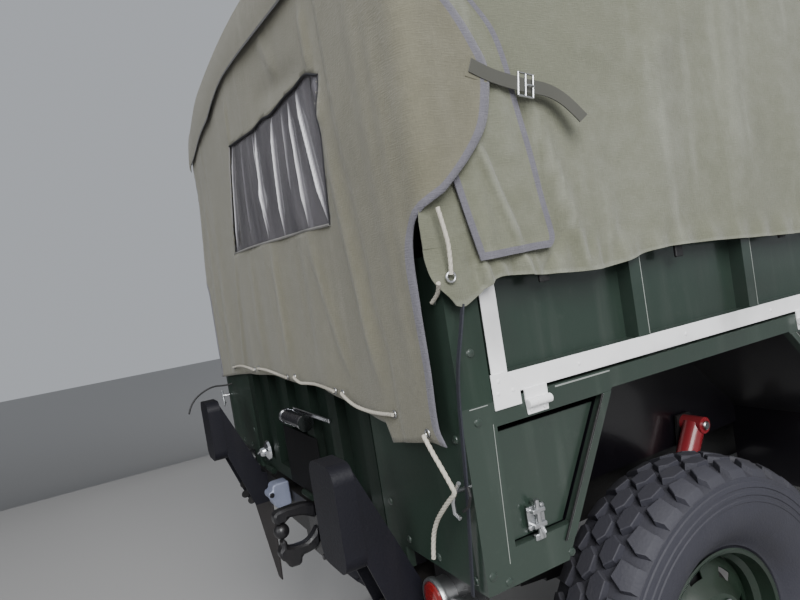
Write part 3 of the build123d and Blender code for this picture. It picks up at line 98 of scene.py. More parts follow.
for name, place, target, size, power in LAMPS:
    lamp = bpy.data.objects.new(name, bpy.data.lights.new(name, "AREA"))
    lamp.data.size = size
    lamp.data.energy = power
    lamp.location = place
    lamp.rotation_euler = (Vector(target) - Vector(place)).to_track_quat("-Z", "Y").to_euler()
    bpy.context.collection.objects.link(lamp)

camera = bpy.data.objects.new("camera", bpy.data.cameras.new("camera"))
camera.data.sensor_width = 36.0
camera.data.lens = LENS
camera.matrix_world = Matrix([(*LOOKS_RIGHT, 0.0), (*LOOKS_UP, 0.0), (*LOOKS_BACK, 0.0), (0, 0, 0, 1)]).transposed()
camera.location = EYE
bpy.context.collection.objects.link(camera)
bpy.context.scene.camera = camera


# The chassis, axles, springs, engine and exhaust are steel, brushed with black paint at the works and
# since then dulled by road dirt. The shock absorbers are bright red tubes with zinc-plated bolts.
CHASSIS_BLACK = (0.013, 0.013, 0.014)
ROAD_DIRT = (0.085, 0.075, 0.065)
DAMPER_RED = (0.26, 0.016, 0.024)
ZINC = (0.56, 0.57, 0.58)
COLOUR = "NodeSocketColor"
AMOUNT = "NodeSocketFloat"


def effect(name, inputs, outputs):
    """A new group of shader nodes with named sockets, and its input and output nodes."""
    group = bpy.data.node_groups.new(name, "ShaderNodeTree")
    for socket, kind, value in inputs:
        group.interface.new_socket(name=socket, in_out="INPUT", socket_type=kind).default_value = value
    for socket, kind in outputs:
        group.interface.new_socket(name=socket, in_out="OUTPUT", socket_type=kind)
    return group, group.nodes.new("NodeGroupInput"), group.nodes.new("NodeGroupOutput")


def patches(tree, place, stretch, size, detail, low, high):
    """Noise that is 0 below low and 1 above high, on stretched coordinates."""
    spread = tree.nodes.new("ShaderNodeMapping")
    spread.inputs["Scale"].default_value = stretch
    tree.links.new(place, spread.inputs["Vector"])
    grain = tree.nodes.new("ShaderNodeTexNoise")
    grain.inputs["Scale"].default_value = size
    grain.inputs["Detail"].default_value = detail
    tree.links.new(spread.outputs["Vector"], grain.inputs["Vector"])
    step = tree.nodes.new("ShaderNodeMapRange")
    step.interpolation_type = "SMOOTHSTEP"
    step.inputs["From Min"].default_value = low
    step.inputs["From Max"].default_value = high
    tree.links.new(grain.outputs["Fac"], step.inputs["Value"])
    return step.outputs["Result"]


def sum_of(tree, operation, first, second, third=None):
    """One arithmetic step on sockets or numbers."""
    node = tree.nodes.new("ShaderNodeMath")
    node.operation = operation
    for socket, value in zip(node.inputs, (first, second, third)):
        if isinstance(value, (int, float)):
            socket.default_value = value
        elif value is not None:
            tree.links.new(value, socket)
    return node.outputs["Value"]


def blended(tree, share, first, second):
    """A colour between two colours."""
    node = tree.nodes.new("ShaderNodeMix")
    node.data_type = "RGBA"
    for socket, value in ((node.inputs["Factor"], share), (node.inputs["A"], first), (node.inputs["B"], second)):
        if isinstance(value, tuple):
            socket.default_value = (*value, 1.0)
        elif isinstance(value, (int, float)):
            socket.default_value = value
        else:
            tree.links.new(value, socket)
    return node.outputs["Result"]


weather, given, made = effect("weather", (
    ("Paint", COLOUR, (0.5, 0.5, 0.5, 1.0)), ("Dirt", COLOUR, (*ROAD_DIRT, 1.0)), ("Dirt Amount", AMOUNT, 0.3),
    ("Streaks", AMOUNT, 0.3), ("Gloss", AMOUNT, 0.4), ("Grain", AMOUNT, 0.5)),
    (("Colour", COLOUR), ("Roughness", AMOUNT), ("Height", AMOUNT)))
spot = weather.nodes.new("ShaderNodeTexCoord").outputs["Object"]
facing = weather.nodes.new("ShaderNodeSeparateXYZ")
weather.links.new(weather.nodes.new("ShaderNodeNewGeometry").outputs["Normal"], facing.inputs["Vector"])
cloudy = patches(weather, spot, (1.0, 1.0, 1.0), 4.2, 6.0, 0.42, 0.72)
runs = patches(weather, spot, (13.0, 13.0, 1.1), 1.6, 4.0, 0.50, 0.78)
fine = patches(weather, spot, (1.0, 1.0, 1.0), 170.0, 3.0, 0.2, 0.8)
speckle = patches(weather, spot, (1.0, 1.0, 1.0), 60.0, 5.0, 0.60, 0.74)
settled = sum_of(weather, "MAXIMUM", facing.outputs["Z"], 0.0)
lying = sum_of(weather, "MULTIPLY_ADD", settled, 0.55, sum_of(weather, "MULTIPLY", cloudy, 0.45))
lying = sum_of(weather, "MULTIPLY_ADD", speckle, 0.25, lying)
masked = sum_of(weather, "MULTIPLY", lying, given.outputs["Dirt Amount"])
masked = sum_of(weather, "MULTIPLY_ADD", runs, sum_of(weather, "MULTIPLY", given.outputs["Streaks"], 0.35), masked)
masked = sum_of(weather, "MINIMUM", masked, 0.92)
uneven = blended(weather, sum_of(weather, "MULTIPLY", cloudy, 0.35), given.outputs["Paint"], (0.0, 0.0, 0.0))
weather.links.new(blended(weather, masked, uneven, given.outputs["Dirt"]), made.inputs["Colour"])
duller = sum_of(weather, "MULTIPLY_ADD", masked, 0.45, given.outputs["Gloss"])
weather.links.new(sum_of(weather, "MULTIPLY_ADD", fine, 0.05, duller), made.inputs["Roughness"])
weather.links.new(sum_of(weather, "MULTIPLY", fine, given.outputs["Grain"]), made.inputs["Height"])


def weathered(name, colour, gloss, dirt=0.3, streaks=0.3, grain=0.3, metallic=0.0, coat=0.0, soil=ROAD_DIRT, shine=0.5):
    """A painted, plated or moulded surface with dirt that settles on what faces up and runs down the sides."""
    material = bpy.data.materials.new(name)
    material.use_nodes = True
    tree = material.node_tree
    shader = tree.nodes["Principled BSDF"]
    shader.inputs["Metallic"].default_value = metallic
    shader.inputs["Coat Weight"].default_value = coat
    shader.inputs["Coat Roughness"].default_value = 0.12
    shader.inputs["Specular IOR Level"].default_value = shine
    finish = tree.nodes.new("ShaderNodeGroup")
    finish.node_tree = weather
    finish.inputs["Paint"].default_value = (*colour, 1.0)
    finish.inputs["Dirt"].default_value = (*soil, 1.0)
    for socket, value in (("Dirt Amount", dirt), ("Streaks", streaks), ("Gloss", gloss), ("Grain", grain)):
        finish.inputs[socket].default_value = value
    relief = tree.nodes.new("ShaderNodeBump")
    relief.inputs["Strength"].default_value = 0.25
    relief.inputs["Distance"].default_value = 0.001
    tree.links.new(finish.outputs["Colour"], shader.inputs["Base Color"])
    tree.links.new(finish.outputs["Roughness"], shader.inputs["Roughness"])
    tree.links.new(finish.outputs["Height"], relief.inputs["Height"])
    tree.links.new(relief.outputs["Normal"], shader.inputs["Normal"])
    return material


def repaint(material, *nodes):
    """Gives whole CAD nodes a finish."""
    for node in nodes:
        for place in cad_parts[node].material_slots:
            place.material = material


def piece(name, shape, body, slot, *materials, sharp=32.0):
    """A finished mesh becomes a piece of the truck that moves with a body."""
    mesh = bpy.data.meshes.new(name)
    shape.to_mesh(mesh)
    shape.free()
    mesh.shade_smooth()
    mesh.set_sharp_from_angle(angle=radians(sharp))
    for material in materials:
        mesh.materials.append(material)
    made_piece = bpy.data.objects.new(name, mesh)
    bpy.context.collection.objects.link(made_piece)
    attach(made_piece, body)
    return made_piece


def stamp(target, shape, *places, finish=None):
    """Copies a small shape into a bigger mesh at each place, with a finish of its own if one is given."""
    stencil = bpy.data.meshes.new("stencil")
    if finish is not None:
        for face in shape.faces:
            face.material_index = finish
    shape.to_mesh(stencil)
    for place in places:
        copy = stencil.copy()
        copy.transform(place)
        if place.determinant() < 0:
            copy.flip_normals()
        target.from_mesh(copy)
        bpy.data.meshes.remove(copy)
    bpy.data.meshes.remove(stencil)


def at(point, towards=(0, 0, 1), turn=0.0):
    """The place of a shape that was made standing on the ground, now at a point and facing a direction."""
    lean = Vector((0, 0, 1)).rotation_difference(Vector(towards)).to_matrix().to_4x4()
    return Matrix.Translation(point) @ lean @ Matrix.Rotation(turn, 4, "Z")


def turned(profile, steps=24):
    """A shape spun about the upright axis, from its outline of radius and height."""
    shape = bmesh.new()
    line = [shape.verts.new((radius, 0, height)) for radius, height in profile]
    edges = [shape.edges.new(pair) for pair in zip(line, line[1:])]
    bmesh.ops.spin(shape, geom=line + edges, cent=(0, 0, 0), axis=(0, 0, 1), angle=2 * pi, steps=steps, use_merge=True)
    bmesh.ops.remove_doubles(shape, verts=shape.verts, dist=0.00005)
    bmesh.ops.recalc_face_normals(shape, faces=shape.faces)
    return shape


def plate(outline, thickness, edge=0.0008):
    """A flat plate with slightly rounded edges, from its outline seen from the front."""
    shape = bmesh.new()
    face = shape.faces.new([shape.verts.new((x, y, 0)) for x, y in outline])
    grown = bmesh.ops.extrude_face_region(shape, geom=[face])["geom"]
    bmesh.ops.translate(shape, vec=(0, 0, thickness), verts=[g for g in grown if isinstance(g, bmesh.types.BMVert)])
    bmesh.ops.recalc_face_normals(shape, faces=shape.faces)
    bmesh.ops.bevel(shape, geom=shape.edges[:], offset=edge, offset_type="OFFSET", segments=1, profile=0.5,
                    affect="EDGES", clamp_overlap=True, material=-1)
    return shape


def rectangle(width, height):
    """Corners of a rectangle about the middle."""
    return [(-width / 2, -height / 2), (width / 2, -height / 2), (width / 2, height / 2), (-width / 2, height / 2)]


def hexagon_bolt(across, height):
    """A hexagon head on a washer."""
    shape = turned([(0, height), (across * 0.44, height), (across * 0.5, height * 0.85), (across * 0.5, 0.0016)], 6)
    washer = turned([(0, 0.0018), (across * 0.72, 0.0018), (across * 0.75, 0.0), (0, 0.0)], 16)
    stamp(shape, washer, Matrix.Identity(4))
    washer.free()
    return shape


def round_head(radius, height):
    """A domed rivet or coach bolt head."""
    return turned([(0, height), (radius * 0.5, height * 0.9), (radius * 0.85, height * 0.55), (radius, 0.0)], 14)


def frames_along(points, twist=0.0):
    """Placing matrices along a line, turning evenly about it by twist radians for each metre."""
    places = []
    upright = Vector((0, 0, 1))
    travelled = 0.0
    for index, point in enumerate(points):
        ahead = points[min(index + 1, len(points) - 1)] - points[max(index - 1, 0)]
        ahead.normalize()
        if index:
            travelled += (point - points[index - 1]).length
        elif abs(ahead.z) > 0.9:
            upright = Vector((1, 0, 0))
        upright = (upright - ahead * upright.dot(ahead)).normalized()
        sideways = upright.cross(ahead)
        turn = Matrix.Rotation(twist * travelled, 4, "Z")
        lean = Matrix((sideways, upright, ahead)).transposed().to_4x4()
        places.append(Matrix.Translation(point) @ lean @ turn)
    return places


def swept(outline, places):
    """A closed outline drawn along a line of places, with both ends filled."""
    shape = bmesh.new()
    ring = [shape.verts.new((x, y, 0)) for x, y in outline]
    first = shape.faces.new(ring)
    bmesh.ops.transform(shape, matrix=places[0], verts=ring)
    edges = list(first.edges)
    for before, after in zip(places, places[1:]):
        grown = bmesh.ops.extrude_edge_only(shape, edges=edges)["geom"]
        fresh = [g for g in grown if isinstance(g, bmesh.types.BMVert)]
        edges = [g for g in grown if isinstance(g, bmesh.types.BMEdge)]
        bmesh.ops.transform(shape, matrix=after @ before.inverted(), verts=fresh)
    bmesh.ops.contextual_create(shape, geom=edges)
    bmesh.ops.recalc_face_normals(shape, faces=shape.faces)
    return shape


def circle(radius, sides):
    """Corners of a round section."""
    return [(radius * cos(2 * pi * step / sides), radius * sin(2 * pi * step / sides)) for step in range(sides)]


def bent_bar(points, radius, sides=8):
    """A round bar bent through a few points."""
    return swept(circle(radius, sides), frames_along([Vector(point) for point in points]))


chassis_paint = weathered("chassis_paint", CHASSIS_BLACK, 0.42, dirt=0.22, streaks=0.3, grain=0.8)
cast_black = weathered("cast_black", (0.018, 0.018, 0.019), 0.55, dirt=0.55, streaks=0.5, grain=2.0)
damper_paint = weathered("damper_paint", DAMPER_RED, 0.25, dirt=0.28, streaks=0.5, grain=0.3, coat=0.4)
zinc = weathered("zinc", ZINC, 0.30, dirt=0.22, streaks=0.4, grain=0.5, metallic=1.0)
repaint(chassis_paint, "chassis_frame", "leaf_springs", "fuel_tank", "front_bumper")
repaint(cast_black, "rear_axle", "front_axle", "knuckle_right", "knuckle_left", "engine_block", "drive_line", "exhaust")
repaint(damper_paint, "shock_absorbers")

# Springs are held to the axles by pairs of U bolts over a clamp plate, and the dampers by slotted bolts
FRONT_AXLE = 1.3735
REAR_AXLE = -1.1915
SPRING_LINE = 0.370
SPRING_PLATE_Z = 0.556
DAMPER_TOPS = ((REAR_AXLE + 0.300, 0.598, 0.884), (FRONT_AXLE - 0.150, 0.462, 0.760))
DAMPER_HALF = 0.034
fixings = bmesh.new()
u_bolt_bar = 0.007
clamp_nut = hexagon_bolt(0.022, 0.014)
damper_bolt = turned([(0, 0.010), (0.010, 0.010), (0.013, 0.007), (0.013, 0.0)], 16)
for axle_x in (REAR_AXLE, FRONT_AXLE):
    for side in (-1, 1):
        for end in (-0.048, 0.048):
            y = side * SPRING_LINE
            top = SPRING_PLATE_Z + 0.026
            u_bolt = bent_bar([(axle_x + end, y - 0.036, SPRING_PLATE_Z - 0.11), (axle_x + end, y - 0.036, top - 0.012),
                               (axle_x + end, y - 0.026, top), (axle_x + end, y + 0.026, top),
                               (axle_x + end, y + 0.036, top - 0.012), (axle_x + end, y + 0.036, SPRING_PLATE_Z - 0.11)],
                              u_bolt_bar)
            stamp(fixings, u_bolt, Matrix.Identity(4))
            u_bolt.free()
for x, y, z in DAMPER_TOPS:
    for side in (-1, 1):
        stamp(fixings, damper_bolt, at((x, side * (y + DAMPER_HALF - 0.001), z), (0, side, 0)))
        stamp(fixings, clamp_nut, at((x, side * (y - DAMPER_HALF - 0.006), z), (0, -side, 0)))
clamp_nut.free()
damper_bolt.free()
piece("spring_fixings", fixings, "truck", "chassis_black", zinc)


# Five cross-country tyres on pressed steel wheels. The rubber is moulded: a round carcass with three thin
# rings high on each sidewall, and four rows of staggered blocks whose outer row ends just over the shoulder.
TYRE_RADIUS = 0.446
RUBBER = (0.034, 0.034, 0.046)
PITCHES = 32
CARCASS = [(0.2175, 0.0470), (0.2290, 0.0530), (0.2330, 0.0610), (0.2390, 0.0650), (0.2480, 0.0740), (0.2720, 0.0960),
           (0.3000, 0.1100), (0.3280, 0.1160), (0.3500, 0.1160), (0.3520, 0.1180), (0.3580, 0.1180), (0.3600, 0.1152),
           (0.3660, 0.1150), (0.3680, 0.1174), (0.3750, 0.1170), (0.3770, 0.1142), (0.3840, 0.1132), (0.3860, 0.1156),
           (0.3960, 0.1142), (0.3985, 0.1112), (0.4080, 0.1104), (0.4110, 0.1050), (0.4180, 0.0880), (0.4265, 0.0550),
           (0.4300, 0.0200)]
# Each block: how far round and across its corners are, at its foot and at its top, with the radius of each
SHOULDER_FOOT = [(-0.030, 0.1108, 0.4050), (0.030, 0.1108, 0.4050), (0.037, 0.0830, 0.4190), (0.018, 0.0495, 0.4270),
                 (-0.033, 0.0575, 0.4260)]
SHOULDER_TOP = [(-0.027, 0.0985, 0.4270), (0.027, 0.0985, 0.4270), (0.033, 0.0800, 0.4370), (0.015, 0.0520, 0.4445),
                (-0.029, 0.0600, 0.4430)]
MIDDLE_FOOT = [(-0.040, 0.0170, 0.430), (-0.018, 0.0012, 0.430), (0.024, 0.0025, 0.430), (0.041, 0.0260, 0.430),
               (0.021, 0.0475, 0.428), (-0.025, 0.0470, 0.428)]
MIDDLE_TOP = [(-0.036, 0.0180, 0.446), (-0.016, 0.0035, 0.446), (0.021, 0.0050, 0.446), (0.037, 0.0260, 0.446),
              (0.018, 0.0450, 0.445), (-0.022, 0.0445, 0.445)]


def tread_block(foot, top, turn, side):
    """One tread block wrapped round the carcass, with its top edges worn round."""
    shape = bmesh.new()

    def wrapped(around, across, radius):
        angle = around / TYRE_RADIUS * side + turn
        return (radius * sin(angle), side * across, radius * cos(angle))

    crown = shape.faces.new([shape.verts.new(wrapped(*corner)) for corner in top])
    skirt = bmesh.ops.extrude_edge_only(shape, edges=list(crown.edges))["geom"]
    lower = [g for g in skirt if isinstance(g, bmesh.types.BMVert)]
    for corner in foot:
        target = Vector(wrapped(*corner))
        nearest = min(lower, key=lambda v: (v.co - target).length)
        nearest.co = target
        lower.remove(nearest)
    bmesh.ops.bevel(shape, geom=list(crown.edges), offset=0.0018, offset_type="OFFSET", segments=1, profile=0.5,
                    affect="EDGES", clamp_overlap=True, material=-1)
    bmesh.ops.recalc_face_normals(shape, faces=shape.faces)
    middle = sum((face.calc_center_median() for face in shape.faces), Vector()) / len(shape.faces)
    if sum(face.normal.dot(face.calc_center_median() - middle) for face in shape.faces) < 0:
        bmesh.ops.reverse_faces(shape, faces=shape.faces)
    return shape


one_pitch = bmesh.new()
pitch_angle = 2 * pi / PITCHES
for side, shift in ((1, 0.0), (-1, 0.5)):
    for foot, top, offset in ((SHOULDER_FOOT, SHOULDER_TOP, 0.0), (MIDDLE_FOOT, MIDDLE_TOP, 0.42)):
        block = tread_block(foot, top, (shift + offset) * pitch_angle, side)
        stamp(one_pitch, block, Matrix.Identity(4))
        block.free()
standing = Matrix.Rotation(radians(-90), 4, "X")
tyre_shape = bmesh.new()
carcass = turned(CARCASS + [(radius, -across) for radius, across in reversed(CARCASS)], 96)
stamp(tyre_shape, carcass, standing)
carcass.free()
stamp(tyre_shape, one_pitch, *[Matrix.Rotation(step * pitch_angle, 4, "Y") for step in range(PITCHES)])
one_pitch.free()

# A wheel: the rim with its two lips, the dished disc with hand holes, and on a driven wheel the hub and drum
RIM_GREEN = (0.012, 0.026, 0.016)
RIM_LINE = [(0.2160, -0.0550), (0.2240, -0.0570), (0.2265, -0.0610), (0.2220, -0.0635), (0.2140, -0.0600), (0.2110, -0.0480),
            (0.2060, -0.0400), (0.1920, -0.0320), (0.1920, 0.0130), (0.2060, 0.0250), (0.2110, 0.0450), (0.2140, 0.0600),
            (0.2220, 0.0635), (0.2265, 0.0610), (0.2240, 0.0570), (0.2160, 0.0550)]
DISC_LINE = [(0.1915, -0.0120), (0.1840, -0.0040), (0.1660, 0.0020), (0.1420, 0.0100), (0.1240, 0.0260), (0.1100, 0.0400),
             (0.0780, 0.0440), (0.0560, 0.0430), (0.0540, 0.0380)]
HAND_HOLES = 8
HOLE_INNER = 0.140
HOLE_OUTER = 0.170
DISC_STEPS = 96
disc_shape = turned(DISC_LINE, DISC_STEPS)
holes = []
for face in disc_shape.faces:
    middle = face.calc_center_median()
    share = (atan2(middle.y, middle.x) / (2 * pi) * HAND_HOLES) % 1.0
    if HOLE_INNER < Vector((middle.x, middle.y)).length < HOLE_OUTER and share < 0.42:
        holes.append(face)
bmesh.ops.delete(disc_shape, geom=holes, context="FACES")
bmesh.ops.solidify(disc_shape, geom=disc_shape.faces[:], thickness=0.004)
rim_ring = turned(RIM_LINE, DISC_STEPS)
bmesh.ops.solidify(rim_ring, geom=rim_ring.faces[:], thickness=0.004)
wheel_nut = hexagon_bolt(0.026, 0.018)
stud = turned([(0, 0.027), (0.006, 0.027), (0.007, 0.024), (0.007, 0.0)], 12)
hub_nut = hexagon_bolt(0.013, 0.008)
hub_cap = turned([(0.0, 0.1120), (0.0300, 0.1120), (0.0360, 0.1090), (0.0380, 0.0980), (0.0400, 0.0960), (0.0560, 0.0950),
                  (0.0580, 0.0920), (0.0580, 0.0780), (0.0520, 0.0740), (0.0520, 0.0360), (0.0, 0.0300)], 36)
drum = turned([(0.0, -0.0700), (0.1560, -0.0700), (0.1640, -0.0660), (0.1640, -0.0560), (0.1600, -0.0540), (0.1600, -0.0260),
               (0.1480, -0.0140), (0.0600, -0.0120), (0.0, -0.0120)], 48)
wheels = {}
for driven in (True, False):
    wheel = bmesh.new()
    outwards = standing.inverted()
    stamp(wheel, rim_ring, outwards)
    stamp(wheel, disc_shape, outwards)
    for step in range(6):
        angle = 2 * pi * step / 6
        spoke = Vector((0.082 * cos(angle), 0.0, 0.082 * sin(angle)))
        if driven:
            stamp(wheel, wheel_nut, at(spoke + Vector((0, -0.0445, 0)), (0, -1, 0), angle), finish=1)
            stamp(wheel, stud, at(spoke + Vector((0, -0.0445, 0)), (0, -1, 0)), finish=1)
    if driven:
        stamp(wheel, hub_cap, outwards)
        stamp(wheel, drum, outwards, finish=2)
        for step in range(8):
            angle = 2 * pi * (step + 0.5) / 8
            stamp(wheel, hub_nut, at((0.047 * cos(angle), -0.0955, 0.047 * sin(angle)), (0, -1, 0)), finish=1)
    wheels[driven] = wheel
for part in (disc_shape, rim_ring, wheel_nut, stud, hub_nut, hub_cap, drum):
    part.free()
tyre_rubber = weathered("tyre_rubber", RUBBER, 0.62, dirt=0.20, streaks=0.12, grain=1.6, soil=(0.12, 0.115, 0.115))
rim_paint = weathered("rim_paint", RIM_GREEN, 0.34, dirt=0.36, streaks=0.3, grain=0.6, coat=0.3)
# Each wheel: name, body, which way its face looks, how far round its tread is turned
for name, body, side, turn in (("rear_right", "wheel_rear_right", -1, 3.7), ("rear_left", "wheel_rear_left", 1, 7.0),
                               ("front_right", "wheel_front_right", -1, 1.5), ("front_left", "wheel_front_left", 1, 5.0),
                               ("spare", "truck", 1, 2.0)):
    low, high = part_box("tyre_" + name)
    centre = (Vector(low) + Vector(high)) / 2
    place = Matrix.Translation(centre) @ Matrix.Rotation(radians(turn), 4, "Y")
    rubber = bmesh.new()
    stamp(rubber, tyre_shape, place)
    tyre_piece = piece("tyre_tread_" + name, rubber, body, "tyre_rubber", tyre_rubber, sharp=28.0)
    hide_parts("tyre_" + name)
    steel = bmesh.new()
    stamp(steel, wheels[name != "spare"], place @ Matrix.Scale(-side, 4, (0, 1, 0)))
    wheel_piece = piece("wheel_disc_" + name, steel, body, "body_green", rim_paint, zinc, cast_black)
    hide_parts("rim_" + name)
tyre_shape.free()
for wheel in wheels.values():
    wheel.free()


# The load bed is welded from steel plate and sprayed deep bronze green, glossy where it has been kept
# under cover. Coach bolts hold the corner posts, and a rubber seal is glued down each side of the arches.
# The bronze green is lifted and greyed towards blue: the paint's own colour with a painted reflection of the sky mixed
# in.
BRONZE_GREEN_AND_SHEEN = (0.0225, 0.0385, 0.0290)
FLOOR_GREEN = (0.020, 0.032, 0.022)
SEAL_BLACK = (0.010, 0.010, 0.011)
# Pale grey-green painted along folded edges and rib edges as a painted highlight.
EDGE_HIGHLIGHT = (0.42, 0.45, 0.42)
# Under the load bed and inside the wheel arches the paint is turned near-black: painted shade.
UNDERSIDE_SHADE = (0.0050, 0.0042, 0.0065)
UNDER_HALF = 0.903
UNDER_TOP = 1.168
UNDER_REAR = -1.880
UNDER_FRONT = 0.620
BODY_REAR = -1.8985
BODY_HALF = 0.921
underside_shade, given, made = effect("underside_shade", (("Paint", COLOUR, (0.5, 0.5, 0.5, 1.0)),), (("Colour", COLOUR),))
where = underside_shade.nodes.new("ShaderNodeSeparateXYZ")
underside_shade.links.new(underside_shade.nodes.new("ShaderNodeTexCoord").outputs["Object"], where.inputs["Vector"])
inside = sum_of(underside_shade, "LESS_THAN", sum_of(underside_shade, "ABSOLUTE", where.outputs["Y"], 0.0), UNDER_HALF)
for test, axis, limit in (("LESS_THAN", "Z", UNDER_TOP), ("GREATER_THAN", "X", UNDER_REAR), ("LESS_THAN", "X", UNDER_FRONT)):
    inside = sum_of(underside_shade, "MULTIPLY", inside, sum_of(underside_shade, test, where.outputs[axis], limit))
underside_shade.links.new(blended(underside_shade, inside, given.outputs["Paint"], UNDERSIDE_SHADE), made.inputs["Colour"])


def shaded_underneath(material):
    """The same finish, turned near-black under the load bed and inside the wheel arches as painted shade."""
    tree = material.node_tree
    shader = tree.nodes["Principled BSDF"]
    coat = tree.nodes.new("ShaderNodeGroup")
    coat.node_tree = underside_shade
    tree.links.new(shader.inputs["Base Color"].links[0].from_socket, coat.inputs["Paint"])
    tree.links.new(coat.outputs["Colour"], shader.inputs["Base Color"])
    return material


body_paint = shaded_underneath(weathered("body_paint", BRONZE_GREEN_AND_SHEEN, 0.28, dirt=0.14, streaks=0.30, grain=0.25, coat=0.55,
                                   soil=(0.16, 0.17, 0.155)))
post_paint = shaded_underneath(weathered("post_paint", BRONZE_GREEN_AND_SHEEN, 0.42, dirt=0.12, streaks=0.30, grain=0.25,
                                   soil=(0.14, 0.145, 0.13), shine=0.22))
bed_paint = shaded_underneath(weathered("bed_paint", FLOOR_GREEN, 0.50, dirt=0.5, streaks=0.3, grain=1.0))
seal_rubber = weathered("seal_rubber", SEAL_BLACK, 0.45, dirt=0.10, streaks=0.1, grain=0.8)
edge_highlight = weathered("edge_highlight", EDGE_HIGHLIGHT, 0.35, dirt=0.25, streaks=0.4, grain=0.5, metallic=0.4)
repaint(body_paint, "side_box_right", "side_box_left", "side_locker", "side_locker_door", "locker_door_right",
        "locker_door_left")
repaint(post_paint, "rear_posts")
repaint(bed_paint, "bed_floor", "tilt_hoops")


def side_wall(side, out=0.0):
    """The place of a shape drawn as X and Z on one of the truck's sides, standing out of it."""
    wall = Matrix(((1, 0, 0, 0), (0, 0, -1, -BODY_HALF - out), (0, 1, 0, 0), (0, 0, 0, 1)))
    return wall if side < 0 else Matrix.Scale(-1, 4, (0, 1, 0)) @ wall


def rear_wall(out=0.0):
    """The place of a shape drawn as Y and Z on the body's rear face."""
    return Matrix(((0, 0, -1, BODY_REAR - out), (-1, 0, 0, 0), (0, 1, 0, 0), (0, 0, 0, 1)))


coach_bolt = round_head(0.0085, 0.004)
small_bolt = round_head(0.0055, 0.003)
# Coach bolts on each side: X and Z
SIDE_BOLTS = ((-1.866, 1.177), (-1.884, 0.905), (-1.851, 0.883), (-1.700, 0.885), (-1.860, 1.420), (-1.860, 1.300),
              (0.100, 1.185), (0.540, 1.185), (-0.560, 1.185))
# Coach bolts on the rear face: distance from the middle and height
REAR_BOLTS = ((0.885, 0.890), (0.760, 0.893), (0.640, 0.893), (0.890, 1.150), (0.575, 1.250), (0.575, 0.960), (0.890, 1.400))
bolts = bmesh.new()
for side in (-1, 1):
    for x, z in SIDE_BOLTS:
        stamp(bolts, coach_bolt, side_wall(side) @ Matrix.Translation((x, z, 0)))
    for y, z in REAR_BOLTS:
        stamp(bolts, coach_bolt, rear_wall() @ Matrix.Translation((side * y, z, 0)))
piece("bed_bolts", bolts, "truck", "body_green", body_paint)

# Along the sloping edge of each arch runs a folded lip with a black rubber bead and, beside the bead, a pale painted
# highlight: foot and top of the slope
ARCH_EDGES = (((-1.7085, 0.872), (-1.5355, 1.166)), ((-0.6285, 0.872), (-0.9135, 1.166)))
LIP_LOW = 0.912
LIP_HIGH = 1.160
LIP_WIDTH = 0.0285
LIP_OUT = 0.002
BEAD_WIDTH = 0.0045
seals = bmesh.new()
for foot, top in ARCH_EDGES:
    lean = (top[0] - foot[0]) / (top[1] - foot[1])
    inwards = -1 if lean > 0 else 1
    for inner, outer, out, finish in ((LIP_WIDTH, 0.0005, LIP_OUT, 0), (LIP_WIDTH, LIP_WIDTH - BEAD_WIDTH, 0.0045, 1),
                                      (LIP_WIDTH - BEAD_WIDTH, LIP_WIDTH - BEAD_WIDTH - 0.0018, 0.0032, 2)):
        corners = []
        for z, reach in ((LIP_LOW, inner), (LIP_LOW, outer), (LIP_HIGH, outer), (LIP_HIGH, inner)):
            corners.append((foot[0] + (z - foot[1]) * lean + inwards * reach, z))
        strip = plate(corners, out, 0.0004)
        for side in (-1, 1):
            stamp(seals, strip, side_wall(side), finish=finish)
        strip.free()
piece("arch_seals", seals, "truck", "body_green", body_paint, seal_rubber, edge_highlight)

# Pale lines are painted on the folded edges as painted highlights: down the locker's frame, over the corner joint,
# along the rail's top edge
HIGHLIT_EDGES = (((-1.8350, 1.166), (-1.8338, 1.166), (-1.8433, 0.914), (-1.8445, 0.914)),
              ((-1.8800, 1.2012), (-1.8400, 1.2016), (-1.8400, 1.2032), (-1.8800, 1.2028)),
              ((-1.6810, 1.1990), (-1.5350, 1.1990), (-1.5350, 1.2018), (-1.6810, 1.2022)))
highlight_lines = bmesh.new()
for outline in HIGHLIT_EDGES:
    line = plate(outline, 0.0007, 0.0002)
    for side in (-1, 1):
        stamp(highlight_lines, line, side_wall(side))
    line.free()
piece("edge_highlights", highlight_lines, "truck", "bright_aluminium", edge_highlight)

